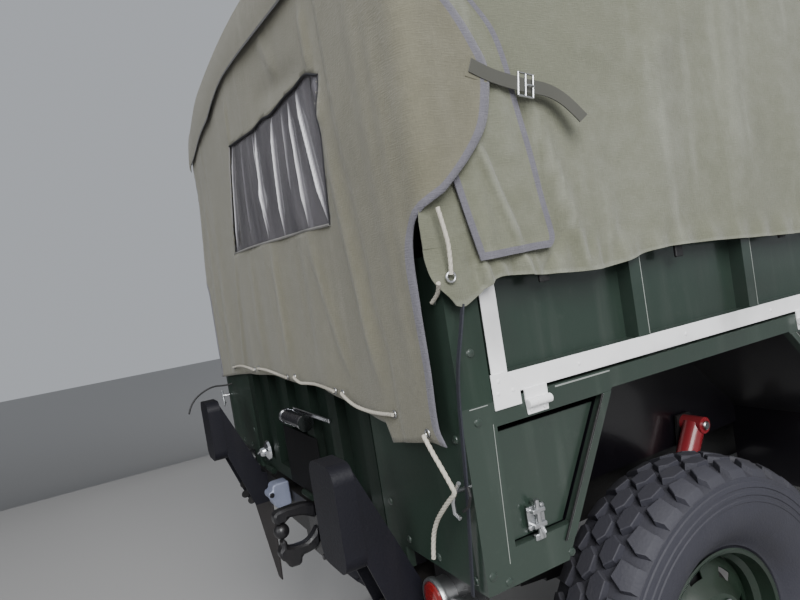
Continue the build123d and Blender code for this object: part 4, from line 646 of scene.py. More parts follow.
# Corner locker doors are shut by a zinc-plated slide bolt: a plate, two loops, a bar and a turned-down knob
BOLT_X = -1.768
BOLT_Z = 0.975
DOOR_FACE = -0.014
slide_bolts = {}
for side in (-1, 1):
    slide = bmesh.new()
    wall = side_wall(side, DOOR_FACE + 0.008)
    back_plate = plate(rectangle(0.040, 0.044), 0.0025)
    bar_shape = bent_bar([(0, -0.038, 0.009), (0, 0.026, 0.009), (0, 0.034, 0.009)], 0.0052, 10)
    loop = plate(rectangle(0.030, 0.009), 0.0150, 0.002)
    knob = bent_bar([(0, -0.018, 0.009), (0.001, -0.018, 0.016), (0.002, -0.026, 0.019)], 0.0042, 8)
    foot_plate = plate(rectangle(0.024, 0.012), 0.0100, 0.002)
    stamp(slide, back_plate, wall @ Matrix.Translation((BOLT_X, BOLT_Z, 0)))
    stamp(slide, bar_shape, wall @ Matrix.Translation((BOLT_X, BOLT_Z, 0)))
    stamp(slide, knob, wall @ Matrix.Translation((BOLT_X, BOLT_Z, 0)))
    stamp(slide, foot_plate, wall @ Matrix.Translation((BOLT_X, BOLT_Z - 0.036, 0)))
    for rise in (-0.013, 0.014):
        stamp(slide, loop, wall @ Matrix.Translation((BOLT_X, BOLT_Z + rise, 0)))
    for x, z in ((-0.016, -0.017), (0.016, -0.017), (-0.016, 0.017), (0.016, 0.017)):
        stamp(slide, small_bolt, wall @ Matrix.Translation((BOLT_X + x, BOLT_Z + z, 0.0025)))
    for part in (back_plate, bar_shape, loop, knob, foot_plate):
        part.free()
    name = "right" if side < 0 else "left"
    piece("slide_bolt_" + name, slide, "locker_door_" + name, "bright_aluminium", zinc)


# The drop sides are flat sheet behind upright ribs. Bright aluminium angle is riveted along their foot and
# up their ends, with a plate at each corner and hinge knuckles below, and the leaves are bolted to the rail.
SILVER = (0.98, 0.98, 0.98)
BAR_LOW = 1.211
BAR_HIGH = 1.250
BAR_SKIN = 0.003
DROP_REAR = -1.8215
DROP_FRONT = 0.5115
DROP_TOP = 1.450
END_BAR = 0.036
HINGES = (-1.7300, -0.8490, -0.4610, 0.4200)
HINGE_Z = 1.186
HINGE_HALF = 0.0270
KNUCKLE_RADIUS = 0.0085
RIB_EDGES = [-1.8215 + 0.036 + 0.3825 * step for step in range(1, 6)]
silver_paint = weathered("silver_paint", SILVER, 0.42, dirt=0.03, streaks=0.08, grain=0.3, coat=0.7,
                         soil=(0.60, 0.60, 0.60))
repaint(body_paint, "drop_side_right", "drop_side_left")
rivet = round_head(0.0042, 0.0022)
foot_bar = plate([(DROP_REAR, BAR_LOW), (DROP_FRONT, BAR_LOW), (DROP_FRONT, BAR_HIGH), (DROP_REAR, BAR_HIGH)], BAR_SKIN)
end_bar = plate([(0, BAR_HIGH), (END_BAR, BAR_HIGH), (END_BAR, DROP_TOP), (0, DROP_TOP)], BAR_SKIN)
corner_plate = plate([(-0.005, -0.023), (0.056, -0.023), (0.056, 0.018), (0.036, 0.036), (0.026, 0.042), (-0.005, 0.042)],
                     0.0030)
neck = plate([(-HINGE_HALF, 0.0), (HINGE_HALF, 0.0), (HINGE_HALF, 0.026), (-HINGE_HALF, 0.026)], 0.0042)
lower_leaf = plate([(-0.0250, -0.021), (0.0250, -0.021), (0.0265, 0.0), (-0.0265, 0.0)], 0.0028)
knuckle = turned([(0, 0.0), (0.0075, 0.0), (KNUCKLE_RADIUS, 0.001), (KNUCKLE_RADIUS, 0.017), (0.0075, 0.018), (0, 0.018)], 18)
rib_highlight = plate([(-0.0017, BAR_HIGH + 0.002), (0, BAR_HIGH + 0.002), (0, DROP_TOP + 0.028), (-0.0017, DROP_TOP + 0.028)],
                 0.0006, 0.0002)
# Rope cleats along the top rail: the first, and the distance between them
FIRST_CLEAT = -1.6720
CLEAT_PITCH = 0.388
cleat = plate(rectangle(0.024, 0.054), 0.008, 0.002)
for side in (-1, 1):
    name = "right" if side < 0 else "left"
    bars = bmesh.new()
    moving = bmesh.new()
    fixed = bmesh.new()
    wall = side_wall(side, 0.0)
    skin = side_wall(side, -BAR_SKIN)
    stamp(bars, foot_bar, skin)
    for x in (DROP_REAR, DROP_FRONT - END_BAR):
        stamp(bars, end_bar, skin @ Matrix.Translation((x, 0, 0)))
    stamp(moving, corner_plate, wall @ Matrix.Translation((DROP_REAR, BAR_LOW, 0.0003)))
    stamp(moving, corner_plate, wall @ Matrix.Translation((DROP_FRONT, BAR_LOW, 0.0003)) @ Matrix.Scale(-1, 4, (1, 0, 0)))
    for x, z in ((0.006, 0.006), (0.040, 0.006), (0.010, 0.028)):
        stamp(moving, rivet, wall @ Matrix.Translation((DROP_REAR + x, BAR_LOW + z, 0.003)))
        stamp(moving, rivet, wall @ Matrix.Translation((DROP_FRONT - x, BAR_LOW + z, 0.003)))
    for step in range(7):
        x = DROP_REAR + 0.21 + step * 0.319
        stamp(moving, rivet, wall @ Matrix.Translation((x, (BAR_LOW + BAR_HIGH) / 2, 0)))
    for x in HINGES:
        stamp(bars, neck, wall @ Matrix.Translation((x, HINGE_Z + 0.001, 0.0)))
        stamp(fixed, lower_leaf, wall @ Matrix.Translation((x, HINGE_Z - 0.001, 0.0003)))
        for shift in (-0.016, 0.016):
            stamp(fixed, small_bolt, wall @ Matrix.Translation((x + shift, HINGE_Z - 0.013, 0.003)))
        for start, owner in ((-HINGE_HALF, bars), (-0.0088, fixed), (0.0094, bars)):
            stamp(owner, knuckle, at((x + start, side * (BODY_HALF + 0.009), HINGE_Z), (1, 0, 0)))
    # Down the edge of each rib runs a pale line, a painted highlight.
    for x in RIB_EDGES:
        stamp(moving, rib_highlight, wall @ Matrix.Translation((x, 0, 0)), finish=1)
    bar_piece = piece("side_bar_set_" + name, bars, "drop_side_" + name, "bright_aluminium", silver_paint)
    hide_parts("side_bars_" + name)
    piece("drop_side_fittings_" + name, moving, "drop_side_" + name, "bright_aluminium", silver_paint, edge_highlight)
    piece("hinge_leaves_" + name, fixed, "truck", "bright_aluminium", silver_paint)
    cleats = bmesh.new()
    for step in range(6):
        stamp(cleats, cleat, wall @ Matrix.Translation((FIRST_CLEAT + step * CLEAT_PITCH, 1.427, 0.0)))
    piece("rope_cleats_" + name, cleats, "drop_side_" + name, "chassis_black", chassis_paint)
for part in (foot_bar, end_bar, corner_plate, neck, lower_leaf, knuckle, rib_highlight, cleat):
    part.free()


# The tailgate has upright ribs between two stiles and hangs on three barrels. The number plate, blank, is
# screwed to its middle with a lamp above, and plated knobs lock it at its lower corners.
PLATE_LOW = 0.848
PLATE_HIGH = 1.036
PLATE_HALF = 0.154
PLATE_BLACK = (0.008, 0.008, 0.009)
LAMP_LINE = 1.088
# The gate's green is the body's bronze green darkened, a painted shade on the rear face.
shaded_gate_paint = weathered("shaded_gate_paint", (0.0115, 0.0200, 0.0150), 0.45, dirt=0.10, streaks=0.22, grain=0.2,
                       soil=(0.10, 0.105, 0.095), shine=0.12)
plate_enamel = weathered("plate_enamel", PLATE_BLACK, 0.60, dirt=0.03, streaks=0.05, grain=0.1, shine=0.08)
plate_white = weathered("plate_white", (0.62, 0.61, 0.58), 0.60, dirt=0.10, streaks=0.1, grain=0.1, shine=0.2)
lamp_black = weathered("lamp_black", (0.010, 0.010, 0.014), 0.22, dirt=0.10, streaks=0.1, grain=0.3, coat=0.4)
chrome = weathered("chrome", (0.78, 0.79, 0.82), 0.12, dirt=0.15, streaks=0.2, grain=0.2, metallic=1.0)
repaint(shaded_gate_paint, "tailgate")
gate_fittings = bmesh.new()
number_plate = plate(rectangle(2 * PLATE_HALF, PLATE_HIGH - PLATE_LOW), 0.003)
border_line = bmesh.new()
border_face = border_line.faces.new([border_line.verts.new((x, y, 0.0)) for x, y in rectangle(
    2 * PLATE_HALF - 0.004, PLATE_HIGH - PLATE_LOW - 0.004)])
bmesh.ops.inset_region(border_line, faces=[border_face], thickness=0.0055, use_even_offset=True,
                       use_boundary=True)
bmesh.ops.delete(border_line, geom=[border_face], context="FACES_ONLY")
bmesh.ops.solidify(border_line, geom=border_line.faces[:], thickness=0.0006)
plate_middle = rear_wall(0.001) @ Matrix.Translation((-0.006, (PLATE_LOW + PLATE_HIGH) / 2, 0))
stamp(gate_fittings, number_plate, plate_middle, finish=0)
stamp(gate_fittings, border_line, plate_middle @ Matrix.Translation((0, 0, 0.0036)), finish=2)
# The plate's lamp: a black can between two plated caps, on a plated bar that is screwed to the gate
lamp_can = turned([(0, 0.0), (0.021, 0.0), (0.021, 0.165), (0, 0.165)], 24)
lamp_cap = turned([(0, 0.0), (0.020, 0.0), (0.0235, 0.004), (0.0235, 0.013), (0, 0.013)], 24)
stamp(gate_fittings, lamp_can, at((BODY_REAR - 0.028, 0.020, LAMP_LINE), (0, -1, 0)), finish=3)
for y in (0.030, -0.140):
    stamp(gate_fittings, lamp_cap, at((BODY_REAR - 0.028, y, LAMP_LINE), (0, -1, 0)), finish=4)
lamp_bar = plate(rectangle(0.300, 0.012), 0.009, 0.002)
stamp(gate_fittings, lamp_bar, rear_wall() @ Matrix.Translation((0.135, LAMP_LINE + 0.018, 0)), finish=4)
# A plated boss with a turned knob locks the gate at each lower corner
boss = turned([(0, 0.034), (0.012, 0.034), (0.016, 0.028), (0.018, 0.016), (0.034, 0.008), (0.038, 0.0)], 28)
grip = bent_bar([(-0.016, 0.0, 0.026), (0.0, 0.0, 0.036), (0.022, 0.010, 0.034)], 0.006)
for side in (-1, 1):
    for shape in (boss, grip):
        stamp(gate_fittings, shape, rear_wall() @ Matrix.Translation((side * 0.410, 0.905, 0)), finish=4)
for part in (number_plate, border_line, lamp_can, lamp_cap, lamp_bar, boss, grip):
    part.free()
piece("tailgate_fittings", gate_fittings, "tailgate", "bright_aluminium", plate_enamel, zinc, plate_white, lamp_black, chrome)


# Behind the tail member stand two rubber-faced buffers on plate arms, and between them the towing coupling: two
# forged jaws over a ball, with the trailer's light socket beside it. Rubber flaps hang behind the wheels.
BUFFER_BLACK = (0.0055, 0.0055, 0.0105)
buffer_rubber = weathered("buffer_rubber", BUFFER_BLACK, 0.50, dirt=0.03, streaks=0.10, grain=1.0, shine=0.35)
flap_rubber = weathered("flap_rubber", (0.034, 0.030, 0.030), 0.62, dirt=0.30, streaks=0.4, grain=1.2, shine=0.3)
forged_steel = weathered("forged_steel", (0.007, 0.007, 0.010), 0.34, dirt=0.10, streaks=0.2, grain=1.5, coat=0.2)
latch_plating = weathered("latch_plating", (0.30, 0.33, 0.45), 0.42, dirt=0.15, streaks=0.2, grain=0.8, metallic=0.4)
repaint(buffer_rubber, "rear_buffers")
TAIL_X = -1.8845
JAW_HALF = 0.020
# The coupling seen from the side, as X and Z: the upper jaw with its neck over the ball, and the lower jaw
UPPER_JAW = [(-1.8965, 0.770), (-1.9400, 0.792), (-1.9830, 0.797), (-1.9880, 0.785), (-2.0240, 0.785), (-2.0270, 0.806),
             (-2.0200, 0.822), (-1.9900, 0.826), (-1.9300, 0.824), (-1.8965, 0.816)]
LOWER_JAW = [(-1.8965, 0.745), (-1.9130, 0.722), (-1.9400, 0.706), (-1.9800, 0.706), (-1.9970, 0.712), (-1.9980, 0.735),
             (-2.0130, 0.735), (-2.0150, 0.712), (-2.0260, 0.704), (-2.0240, 0.682), (-2.0060, 0.668), (-2.0020, 0.650),
             (-1.9640, 0.648), (-1.9580, 0.674), (-1.9280, 0.676), (-1.9080, 0.684), (-1.8965, 0.690)]
upright = Matrix(((1, 0, 0, 0), (0, 0, -1, JAW_HALF), (0, 1, 0, 0), (0, 0, 0, 1)))
coupling = bmesh.new()
for outline in (UPPER_JAW, LOWER_JAW):
    jaw = plate(outline, 2 * JAW_HALF, 0.007)
    stamp(coupling, jaw, upright)
    jaw.free()
ball = bmesh.new()
bmesh.ops.create_uvsphere(ball, u_segments=28, v_segments=18, radius=0.0235)
stamp(coupling, ball, Matrix.Translation((-2.0055, 0.0, 0.7600)))
tow_plate = plate(rectangle(0.140, 0.144), 0.012, 0.002)
stamp(coupling, tow_plate, rear_wall(-0.014) @ Matrix.Translation((0, 0.716, 0)))
plate_bolt = hexagon_bolt(0.020, 0.012)
for y in (-0.052, 0.052):
    for z in (-0.054, 0.054):
        stamp(coupling, plate_bolt, at((-1.8965, y, 0.716 + z), (-1, 0, 0)))
ball.free()
tow_plate.free()
coupling_piece = piece("tow_coupling", coupling, "truck", "chassis_black", forged_steel)
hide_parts("tow_pintle")
# The socket's plated housing has a sprung lid, hinged in two ears
SOCKET_Y = 0.283
SOCKET_HALF = 0.030
HOUSING = [(-1.8885, 0.744), (-1.9340, 0.738), (-1.9480, 0.752), (-1.9520, 0.772), (-1.9640, 0.784), (-1.9620, 0.800),
           (-1.9480, 0.804), (-1.9470, 0.818), (-1.9360, 0.824), (-1.8885, 0.824)]
socket_box = plate(HOUSING, 2 * SOCKET_HALF, 0.004)
ear_pin = turned([(0, 0.004), (0.006, 0.004), (0.009, 0.0)], 16)
housing = bmesh.new()
stamp(housing, socket_box, Matrix(((1, 0, 0, 0), (0, 0, -1, SOCKET_Y + SOCKET_HALF), (0, 1, 0, 0), (0, 0, 0, 1))))
for side in (-1, 1):
    stamp(housing, ear_pin, at((-1.9530, SOCKET_Y + side * SOCKET_HALF, 0.791), (0, side, 0)), finish=1)
socket_box.free()
ear_pin.free()
socket_piece = piece("socket_housing", housing, "truck", "bright_aluminium", latch_plating, forged_steel)
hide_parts("trailer_socket")

# Each mudflap is cut to a point at its inner foot
FLAP = [(0.560, 0.748), (0.890, 0.748), (0.890, 0.640), (0.648, 0.342), (0.606, 0.342), (0.563, 0.640)]
flaps = bmesh.new()
for side in (-1, 1):
    flap = plate(FLAP, 0.006, 0.0015)
    stamp(flaps, flap, rear_wall(-0.022) @ Matrix.Scale(-side, 4, (1, 0, 0)))
    flap.free()
flap_piece = piece("tapered_flaps", flaps, "truck", "black_rubber", flap_rubber)
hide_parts("mudflaps")

# The buffers' pads are bolted through their arms, and a steel strip clamps the top of each mudflap
tail_bolts = bmesh.new()
for side in (-1, 1):
    for z in (0.74, 0.70):
        for y in (0.566, 0.662):
            stamp(tail_bolts, plate_bolt, at((BODY_REAR - 0.056, side * y, z - 0.0), (0, side, 0)))
    clamp_strip = plate(rectangle(0.170, 0.026), 0.004)
    stamp(tail_bolts, clamp_strip, rear_wall(-0.016) @ Matrix.Translation((-side * 0.794, 0.728, 0)))
    for x in (0.725, 0.794, 0.863):
        stamp(tail_bolts, plate_bolt, at((BODY_REAR + 0.012, side * x, 0.728), (-1, 0, 0)))
    clamp_strip.free()
plate_bolt.free()
piece("tail_bolts", tail_bolts, "truck", "chassis_black", chassis_paint)


# Lamps: at the tail round red and amber lenses in plated rings on a bracket, at the front two headlamps with
# fluted lenses over a plated bowl, and small side lamps and indicators outside them.
LENS_RED = (0.25, 0.008, 0.008)
LENS_AMBER = (0.80, 0.22, 0.02)
CAB_FACE = 1.9905


def lens_finish(name, colour, gloss, see_through):
    """Coloured or clear moulded glass with rings moulded inside."""
    material = bpy.data.materials.new(name)
    material.use_nodes = True
    tree = material.node_tree
    shader = tree.nodes["Principled BSDF"]
    shader.inputs["Metallic"].default_value = 0.0
    shader.inputs["Transmission Weight"].default_value = see_through
    shader.inputs["Coat Weight"].default_value = 0.6
    finish = tree.nodes.new("ShaderNodeGroup")
    finish.node_tree = weather
    finish.inputs["Paint"].default_value = (*colour, 1.0)
    for socket, value in (("Dirt Amount", 0.10), ("Streaks", 0.1), ("Gloss", gloss), ("Grain", 0.0)):
        finish.inputs[socket].default_value = value
    tree.links.new(finish.outputs["Colour"], shader.inputs["Base Color"])
    tree.links.new(finish.outputs["Roughness"], shader.inputs["Roughness"])
    return material


red_lens = lens_finish("red_lens", LENS_RED, 0.10, 0.25)
amber_lens = lens_finish("amber_lens", LENS_AMBER, 0.10, 0.25)
clear_lens = lens_finish("clear_lens", (0.90, 0.92, 0.94), 0.04, 0.85)


def lamp_body(radius, depth):
    """A lamp's can and its rolled ring."""
    return turned([(0, 0.0), (radius * 0.92, 0.0), (radius * 0.92, depth - 0.012), (radius * 1.04, depth - 0.012),
                   (radius * 1.06, depth - 0.006), (radius * 1.02, depth), (radius * 0.90, depth), (radius * 0.88, depth - 0.004)],
                  36)


def lamp_lens(radius, depth, crown):
    """A domed lens with two moulded rings."""
    return turned([(0, depth + crown), (radius * 0.30, depth + crown * 0.95), (radius * 0.32, depth + crown * 0.85),
                   (radius * 0.58, depth + crown * 0.72), (radius * 0.60, depth + crown * 0.60), (radius * 0.80, depth + crown * 0.3),
                   (radius * 0.89, depth - 0.003), (0, depth - 0.005)], 36)


lamp_set = bmesh.new()
for side in (-1, 1):
    for y, radius, colour in ((0.748, 0.043, 1), (0.840, 0.038, 2)):
        can = lamp_body(radius, 0.036)
        lens = lamp_lens(radius, 0.036, 0.007)
        spot_place = at((BODY_REAR + 0.016, side * y, 0.806), (-1, 0, 0))
        stamp(lamp_set, can, spot_place, finish=0)
        stamp(lamp_set, lens, spot_place, finish=colour)
        can.free()
        lens.free()
    bracket = plate([(0.702, 0.750), (0.886, 0.750), (0.886, 0.872), (0.702, 0.872)], 0.006)
    stamp(lamp_set, bracket, rear_wall(-0.022) @ Matrix.Scale(-side, 4, (1, 0, 0)), finish=4)
    bracket.free()
    for y, z, radius, colour in ((0.560, 1.000, 0.092, 3), (0.760, 1.060, 0.032, 3), (0.760, 0.950, 0.032, 2)):
        can = lamp_body(radius, 0.030)
        lens = lamp_lens(radius, 0.030, 0.009)
        spot_place = at((CAB_FACE, side * y, z), (1, 0, 0))
        stamp(lamp_set, can, spot_place, finish=0)
        stamp(lamp_set, lens, spot_place, finish=colour)
        can.free()
        lens.free()
lamps_piece = piece("lamp_set", lamp_set, "truck", "lamp_glass", zinc, red_lens, amber_lens, clear_lens, chassis_paint)
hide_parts("lamps")


# The cab: pressed steel panels in the body's green, rolled lips round the wheel arches, doors, flat glass, two wipers,
# and inside two seats beside the engine cover. Outside door hinges, black rubber round the glass and padding on the
# engine cover are not modelled.
GLASS_TINT = (0.80, 0.86, 0.82)
SEAT_GREEN = (0.030, 0.040, 0.026)
CAB_HALF = 0.906
ARCH_LIP = 0.012
window_glass = lens_finish("window_glass", GLASS_TINT, 0.02, 0.95)
mirror_black = weathered("mirror_black", (0.014, 0.014, 0.015), 0.38, dirt=0.15, streaks=0.2, grain=0.6)
trim_black = weathered("trim_black", (0.020, 0.020, 0.020), 0.55, dirt=0.2, streaks=0.1, grain=1.0)
repaint(body_paint, "cab_shell", "door_right", "door_left", "windscreen_frame")
repaint(window_glass, "windscreen_glass", "door_glass_right", "door_glass_left")
repaint(chassis_paint, "grille", "seat_frames")
repaint(mirror_black, "mirrors")
repaint(trim_black, "steering_wheel", "engine_cover")
ARCH_BACK = 0.8175
ARCH_FRONT = 1.9295
ARCH_TOP = 1.020
arch_lips = bmesh.new()
lip_line = [(ARCH_BACK, 0.722), (ARCH_BACK, ARCH_TOP - 0.06), (ARCH_BACK + 0.02, ARCH_TOP - 0.02),
            (ARCH_BACK + 0.06, ARCH_TOP - 0.002), (ARCH_FRONT - 0.06, ARCH_TOP - 0.002), (ARCH_FRONT - 0.02, ARCH_TOP - 0.02),
            (ARCH_FRONT, ARCH_TOP - 0.06), (ARCH_FRONT, 0.722)]
for side in (-1, 1):
    lip = bent_bar([(x, side * (CAB_HALF + 0.003), z) for x, z in lip_line], 0.007, 8)
    stamp(arch_lips, lip, Matrix.Identity(4))
    lip.free()
piece("arch_lips", arch_lips, "truck", "body_green", body_paint)

wipers = bmesh.new()
for side in (-1, 1):
    pivot = (1.955, side * 0.30, 1.462)
    arm = bent_bar([pivot, (1.972, side * 0.31, 1.475), (1.945, side * 0.46, 1.700)], 0.0045)
    blade = bent_bar([(1.955, side * 0.38, 1.560), (1.945, side * 0.46, 1.700), (1.925, side * 0.535, 1.835)], 0.0055, 6)
    boss = turned([(0, 0.022), (0.010, 0.022), (0.014, 0.016), (0.016, 0.0)], 18)
    stamp(wipers, arm, Matrix.Identity(4))
    stamp(wipers, blade, Matrix.Identity(4))
    stamp(wipers, boss, at((1.962, side * 0.30, 1.455), (0.9, 0, 0.2)))
    for part in (arm, blade, boss):
        part.free()
piece("wipers", wipers, "truck", "mirror_black", mirror_black)

cab_bolts = bmesh.new()
for side in (-1, 1):
    for x in (0.62, 0.72):
        for z in (0.80, 1.10, 1.38):
            stamp(cab_bolts, small_bolt, at((x, side * CAB_HALF, z), (0, side, 0)))
    for y in (0.43, 0.60, 0.78):
        stamp(cab_bolts, small_bolt, at((CAB_FACE, side * y, 1.40), (1, 0, 0)))
    for y in (0.05, 0.20, 0.35):
        stamp(cab_bolts, small_bolt, at((CAB_FACE, side * y, 1.215), (1, 0, 0)))
piece("cab_bolts", cab_bolts, "truck", "body_green", body_paint)

# Each cushion: low and high corner of the right-hand one, cut from foam and covered in green coated cloth
seat_cloth = weathered("seat_cloth", SEAT_GREEN, 0.48, dirt=0.15, streaks=0.05, grain=2.2)
CUSHIONS = (("seat_base", (0.9595, -0.830, 1.151), (1.4235, -0.340, 1.260)),
            ("seat_back", (0.9445, -0.830, 1.262), (1.0335, -0.340, 1.680)))
for name, low, high in CUSHIONS:
    for side in (-1, 1):
        cushion = bmesh.new()
        middle = (Vector(low) + Vector(high)) / 2
        size = Vector(high) - Vector(low)
        bmesh.ops.create_cube(cushion, size=1.0)
        bmesh.ops.subdivide_edges(cushion, edges=cushion.edges[:], cuts=9, use_grid_fill=True)
        for point in cushion.verts:
            x, y, z = point.co * 2.0
            thin = min(range(3), key=lambda axis: size[axis])
            flat = [axis for axis in range(3) if axis != thin]
            spread = (1 - (point.co[flat[0]] * 2) ** 4) * (1 - (point.co[flat[1]] * 2) ** 4)
            squeeze = 0.72 + 0.28 * spread
            channel = 1.0 - 0.10 * exp(-((abs(point.co[flat[1]]) - 0.17) / 0.02) ** 2) * spread
            point.co[thin] *= squeeze * channel
            for axis in flat:
                other = flat[0] if axis == flat[1] else flat[1]
                point.co[axis] *= 1.0 - 0.025 * (1 - (point.co[other] * 2) ** 2)
        bmesh.ops.scale(cushion, vec=size, verts=cushion.verts)
        bmesh.ops.translate(cushion, vec=Vector((middle.x, side * -middle.y, middle.z)), verts=cushion.verts)
        pad = piece(name + ("_right" if side < 0 else "_left"), cushion, "truck", "seat_cover", seat_cloth, sharp=60.0)
        soften = pad.modifiers.new("soften", "SUBSURF")
        soften.levels = 1
        soften.render_levels = 1
        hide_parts("seat_cushions")


# The canvas: one big sheet of proofed cotton duck over four hoops and the cab, with separate strips below
# the stitched seam that hang over the drop sides. The sun has faded it, and ropes and ribs have rubbed it pale.
# The ridges of its folds are painted pale too, a painted highlight.
KHAKI = (0.153, 0.158, 0.108)
FADED_KHAKI = (0.268, 0.276, 0.225)
DAMP_KHAKI = (0.072, 0.072, 0.048)
WEBBING = (0.135, 0.130, 0.155)
CLOTH = 0.0022
SHEET_HALF = 0.936
SEAM_Z = 1.490
EAVE_Z = 2.168
RIDGE_Z = 2.240
EAVE_RADIUS = 0.120
SHEET_REAR = -1.9150
SHEET_FRONT = 1.9005
DOOR_CUT_X = 0.7435
DOOR_CUT_Z = 1.999
FALL_START = 1.3405
FALL = 0.130
HOOPS = (-1.8625, -1.0575, -0.2525, 0.5525)

canvas_effect, given, made = effect("duck_canvas", (
    ("Cloth", COLOUR, (*KHAKI, 1.0)), ("Faded", COLOUR, (*FADED_KHAKI, 1.0)), ("Damp", COLOUR, (*DAMP_KHAKI, 1.0)),
    ("Scuffs", AMOUNT, 0.5), ("Threads", AMOUNT, 1.0), ("Worn and Highlit", AMOUNT, 0.0)),
    (("Colour", COLOUR), ("Roughness", AMOUNT), ("Height", AMOUNT)))
lie = canvas_effect.nodes.new("ShaderNodeUVMap")
lie.uv_map = "flat"
on_cloth = lie.outputs["UV"]
wide = patches(canvas_effect, on_cloth, (1.0, 1.0, 1.0), 1.7, 6.0, 0.40, 0.74)
scuffs = patches(canvas_effect, on_cloth, (9.0, 1.1, 1.0), 1.5, 5.0, 0.52, 0.76)
stains = patches(canvas_effect, on_cloth, (2.6, 1.0, 1.0), 1.9, 7.0, 0.56, 0.80)
mottle = patches(canvas_effect, on_cloth, (1.0, 1.0, 1.0), 26.0, 5.0, 0.30, 0.75)
slubs = patches(canvas_effect, on_cloth, (60.0, 420.0, 1.0), 1.0, 2.0, 0.35, 0.75)
cross = patches(canvas_effect, on_cloth, (420.0, 60.0, 1.0), 1.0, 2.0, 0.35, 0.75)
weave = sum_of(canvas_effect, "ADD", slubs, cross)
pale = sum_of(canvas_effect, "MULTIPLY", sum_of(canvas_effect, "MULTIPLY_ADD", scuffs, 0.75, sum_of(
    canvas_effect, "MULTIPLY", wide, 0.40)), given.outputs["Scuffs"])
pale = sum_of(canvas_effect, "MULTIPLY_ADD", sum_of(canvas_effect, "SUBTRACT", mottle, 0.5), 0.22, pale)
# Worn places and the painted highlight on fold ridges lighten the cloth.
pale = sum_of(canvas_effect, "MULTIPLY_ADD", given.outputs["Worn and Highlit"], 0.65, pale)
pale = sum_of(canvas_effect, "MAXIMUM", sum_of(canvas_effect, "MINIMUM", pale, 1.0), 0.0)
dyed = blended(canvas_effect, sum_of(canvas_effect, "MULTIPLY", stains, 0.45), given.outputs["Cloth"], given.outputs["Damp"])
dyed = blended(canvas_effect, pale, dyed, given.outputs["Faded"])
dyed = blended(canvas_effect, sum_of(canvas_effect, "MULTIPLY", sum_of(canvas_effect, "SUBTRACT", 1.0, sum_of(
    canvas_effect, "MULTIPLY", weave, 0.5)), 0.16), dyed, (0.0, 0.0, 0.0))
canvas_effect.links.new(dyed, made.inputs["Colour"])
canvas_effect.links.new(sum_of(canvas_effect, "MULTIPLY_ADD", pale, 0.08, 0.78), made.inputs["Roughness"])
canvas_effect.links.new(sum_of(canvas_effect, "MULTIPLY", sum_of(canvas_effect, "MULTIPLY_ADD", mottle, 0.4, weave),
                               given.outputs["Threads"]), made.inputs["Height"])


def woven(name, cloth, faded, damp, scuffed, threads=1.0):
    """Woven cloth whose threads follow the flat cut, painted pale along the ridges of its folds as a painted highlight
    with some wear.
    """
    material = bpy.data.materials.new(name)
    material.use_nodes = True
    tree = material.node_tree
    shader = tree.nodes["Principled BSDF"]
    shader.inputs["Sheen Weight"].default_value = 0.25
    shader.inputs["Sheen Roughness"].default_value = 0.6
    shader.inputs["Specular IOR Level"].default_value = 0.30
    finish = tree.nodes.new("ShaderNodeGroup")
    finish.node_tree = canvas_effect
    for socket, colour in (("Cloth", cloth), ("Faded", faded), ("Damp", damp)):
        finish.inputs[socket].default_value = (*colour, 1.0)
    finish.inputs["Scuffs"].default_value = scuffed
    finish.inputs["Threads"].default_value = threads
    worn_and_highlit = tree.nodes.new("ShaderNodeAttribute")
    worn_and_highlit.attribute_name = "wear_and_highlight"
    relief = tree.nodes.new("ShaderNodeBump")
    relief.inputs["Strength"].default_value = 0.35
    relief.inputs["Distance"].default_value = 0.0012
    tree.links.new(worn_and_highlit.outputs["Fac"], finish.inputs["Worn and Highlit"])
    tree.links.new(finish.outputs["Colour"], shader.inputs["Base Color"])
    tree.links.new(finish.outputs["Roughness"], shader.inputs["Roughness"])
    tree.links.new(finish.outputs["Height"], relief.inputs["Height"])
    tree.links.new(relief.outputs["Normal"], shader.inputs["Normal"])
    return material


duck = woven("duck", KHAKI, FADED_KHAKI, DAMP_KHAKI, 0.75)
# The tail's cloth is a darker, browner copy of the side's: painted shade on the tail.
shaded_rear_duck = woven("shaded_rear_duck", (0.147, 0.139, 0.094), (0.232, 0.222, 0.170), DAMP_KHAKI, 0.50)
tape = woven("tape", WEBBING, (0.22, 0.215, 0.245), (0.085, 0.080, 0.100), 0.4, 2.0)
dark_piping = woven("dark_piping", (0.018, 0.018, 0.020), (0.05, 0.05, 0.05), (0.01, 0.01, 0.01), 0.2)


def flat_cloth(columns, rows):
    """A flat cut of cloth one unit wide and long, with its corner at the origin."""
    cloth = bmesh.new()
    bmesh.ops.create_grid(cloth, x_segments=columns, y_segments=rows, size=0.5)
    bmesh.ops.translate(cloth, vec=(0.5, 0.5, 0.0), verts=cloth.verts)
    return cloth


def hang(cloth, place):
    """Moves each point of a flat cut to where it hangs. The UV map keeps its place on the flat cloth."""
    size = cloth.loops.layers.uv.new("flat")
    wear_and_highlight = cloth.verts.layers.float.new("wear_and_highlight")
    spots = {}
    for point in cloth.verts:
        where, flat, worn_and_highlit = place(point.co.x, point.co.y)
        spots[point] = flat
        point[wear_and_highlight] = worn_and_highlit
        point.co = where
    for face in cloth.faces:
        for loop in face.loops:
            loop[size].uv = spots[loop.vert]
    return cloth


def clothe(name, cloth, body, *materials, thickness=CLOTH, slot="canvas"):
    """A hung cloth becomes a piece with its real thickness."""
    bmesh.ops.solidify(cloth, geom=cloth.faces[:], thickness=thickness)
    bmesh.ops.recalc_face_normals(cloth, faces=cloth.faces)
    return piece(name, cloth, body, slot, *materials, sharp=70.0)


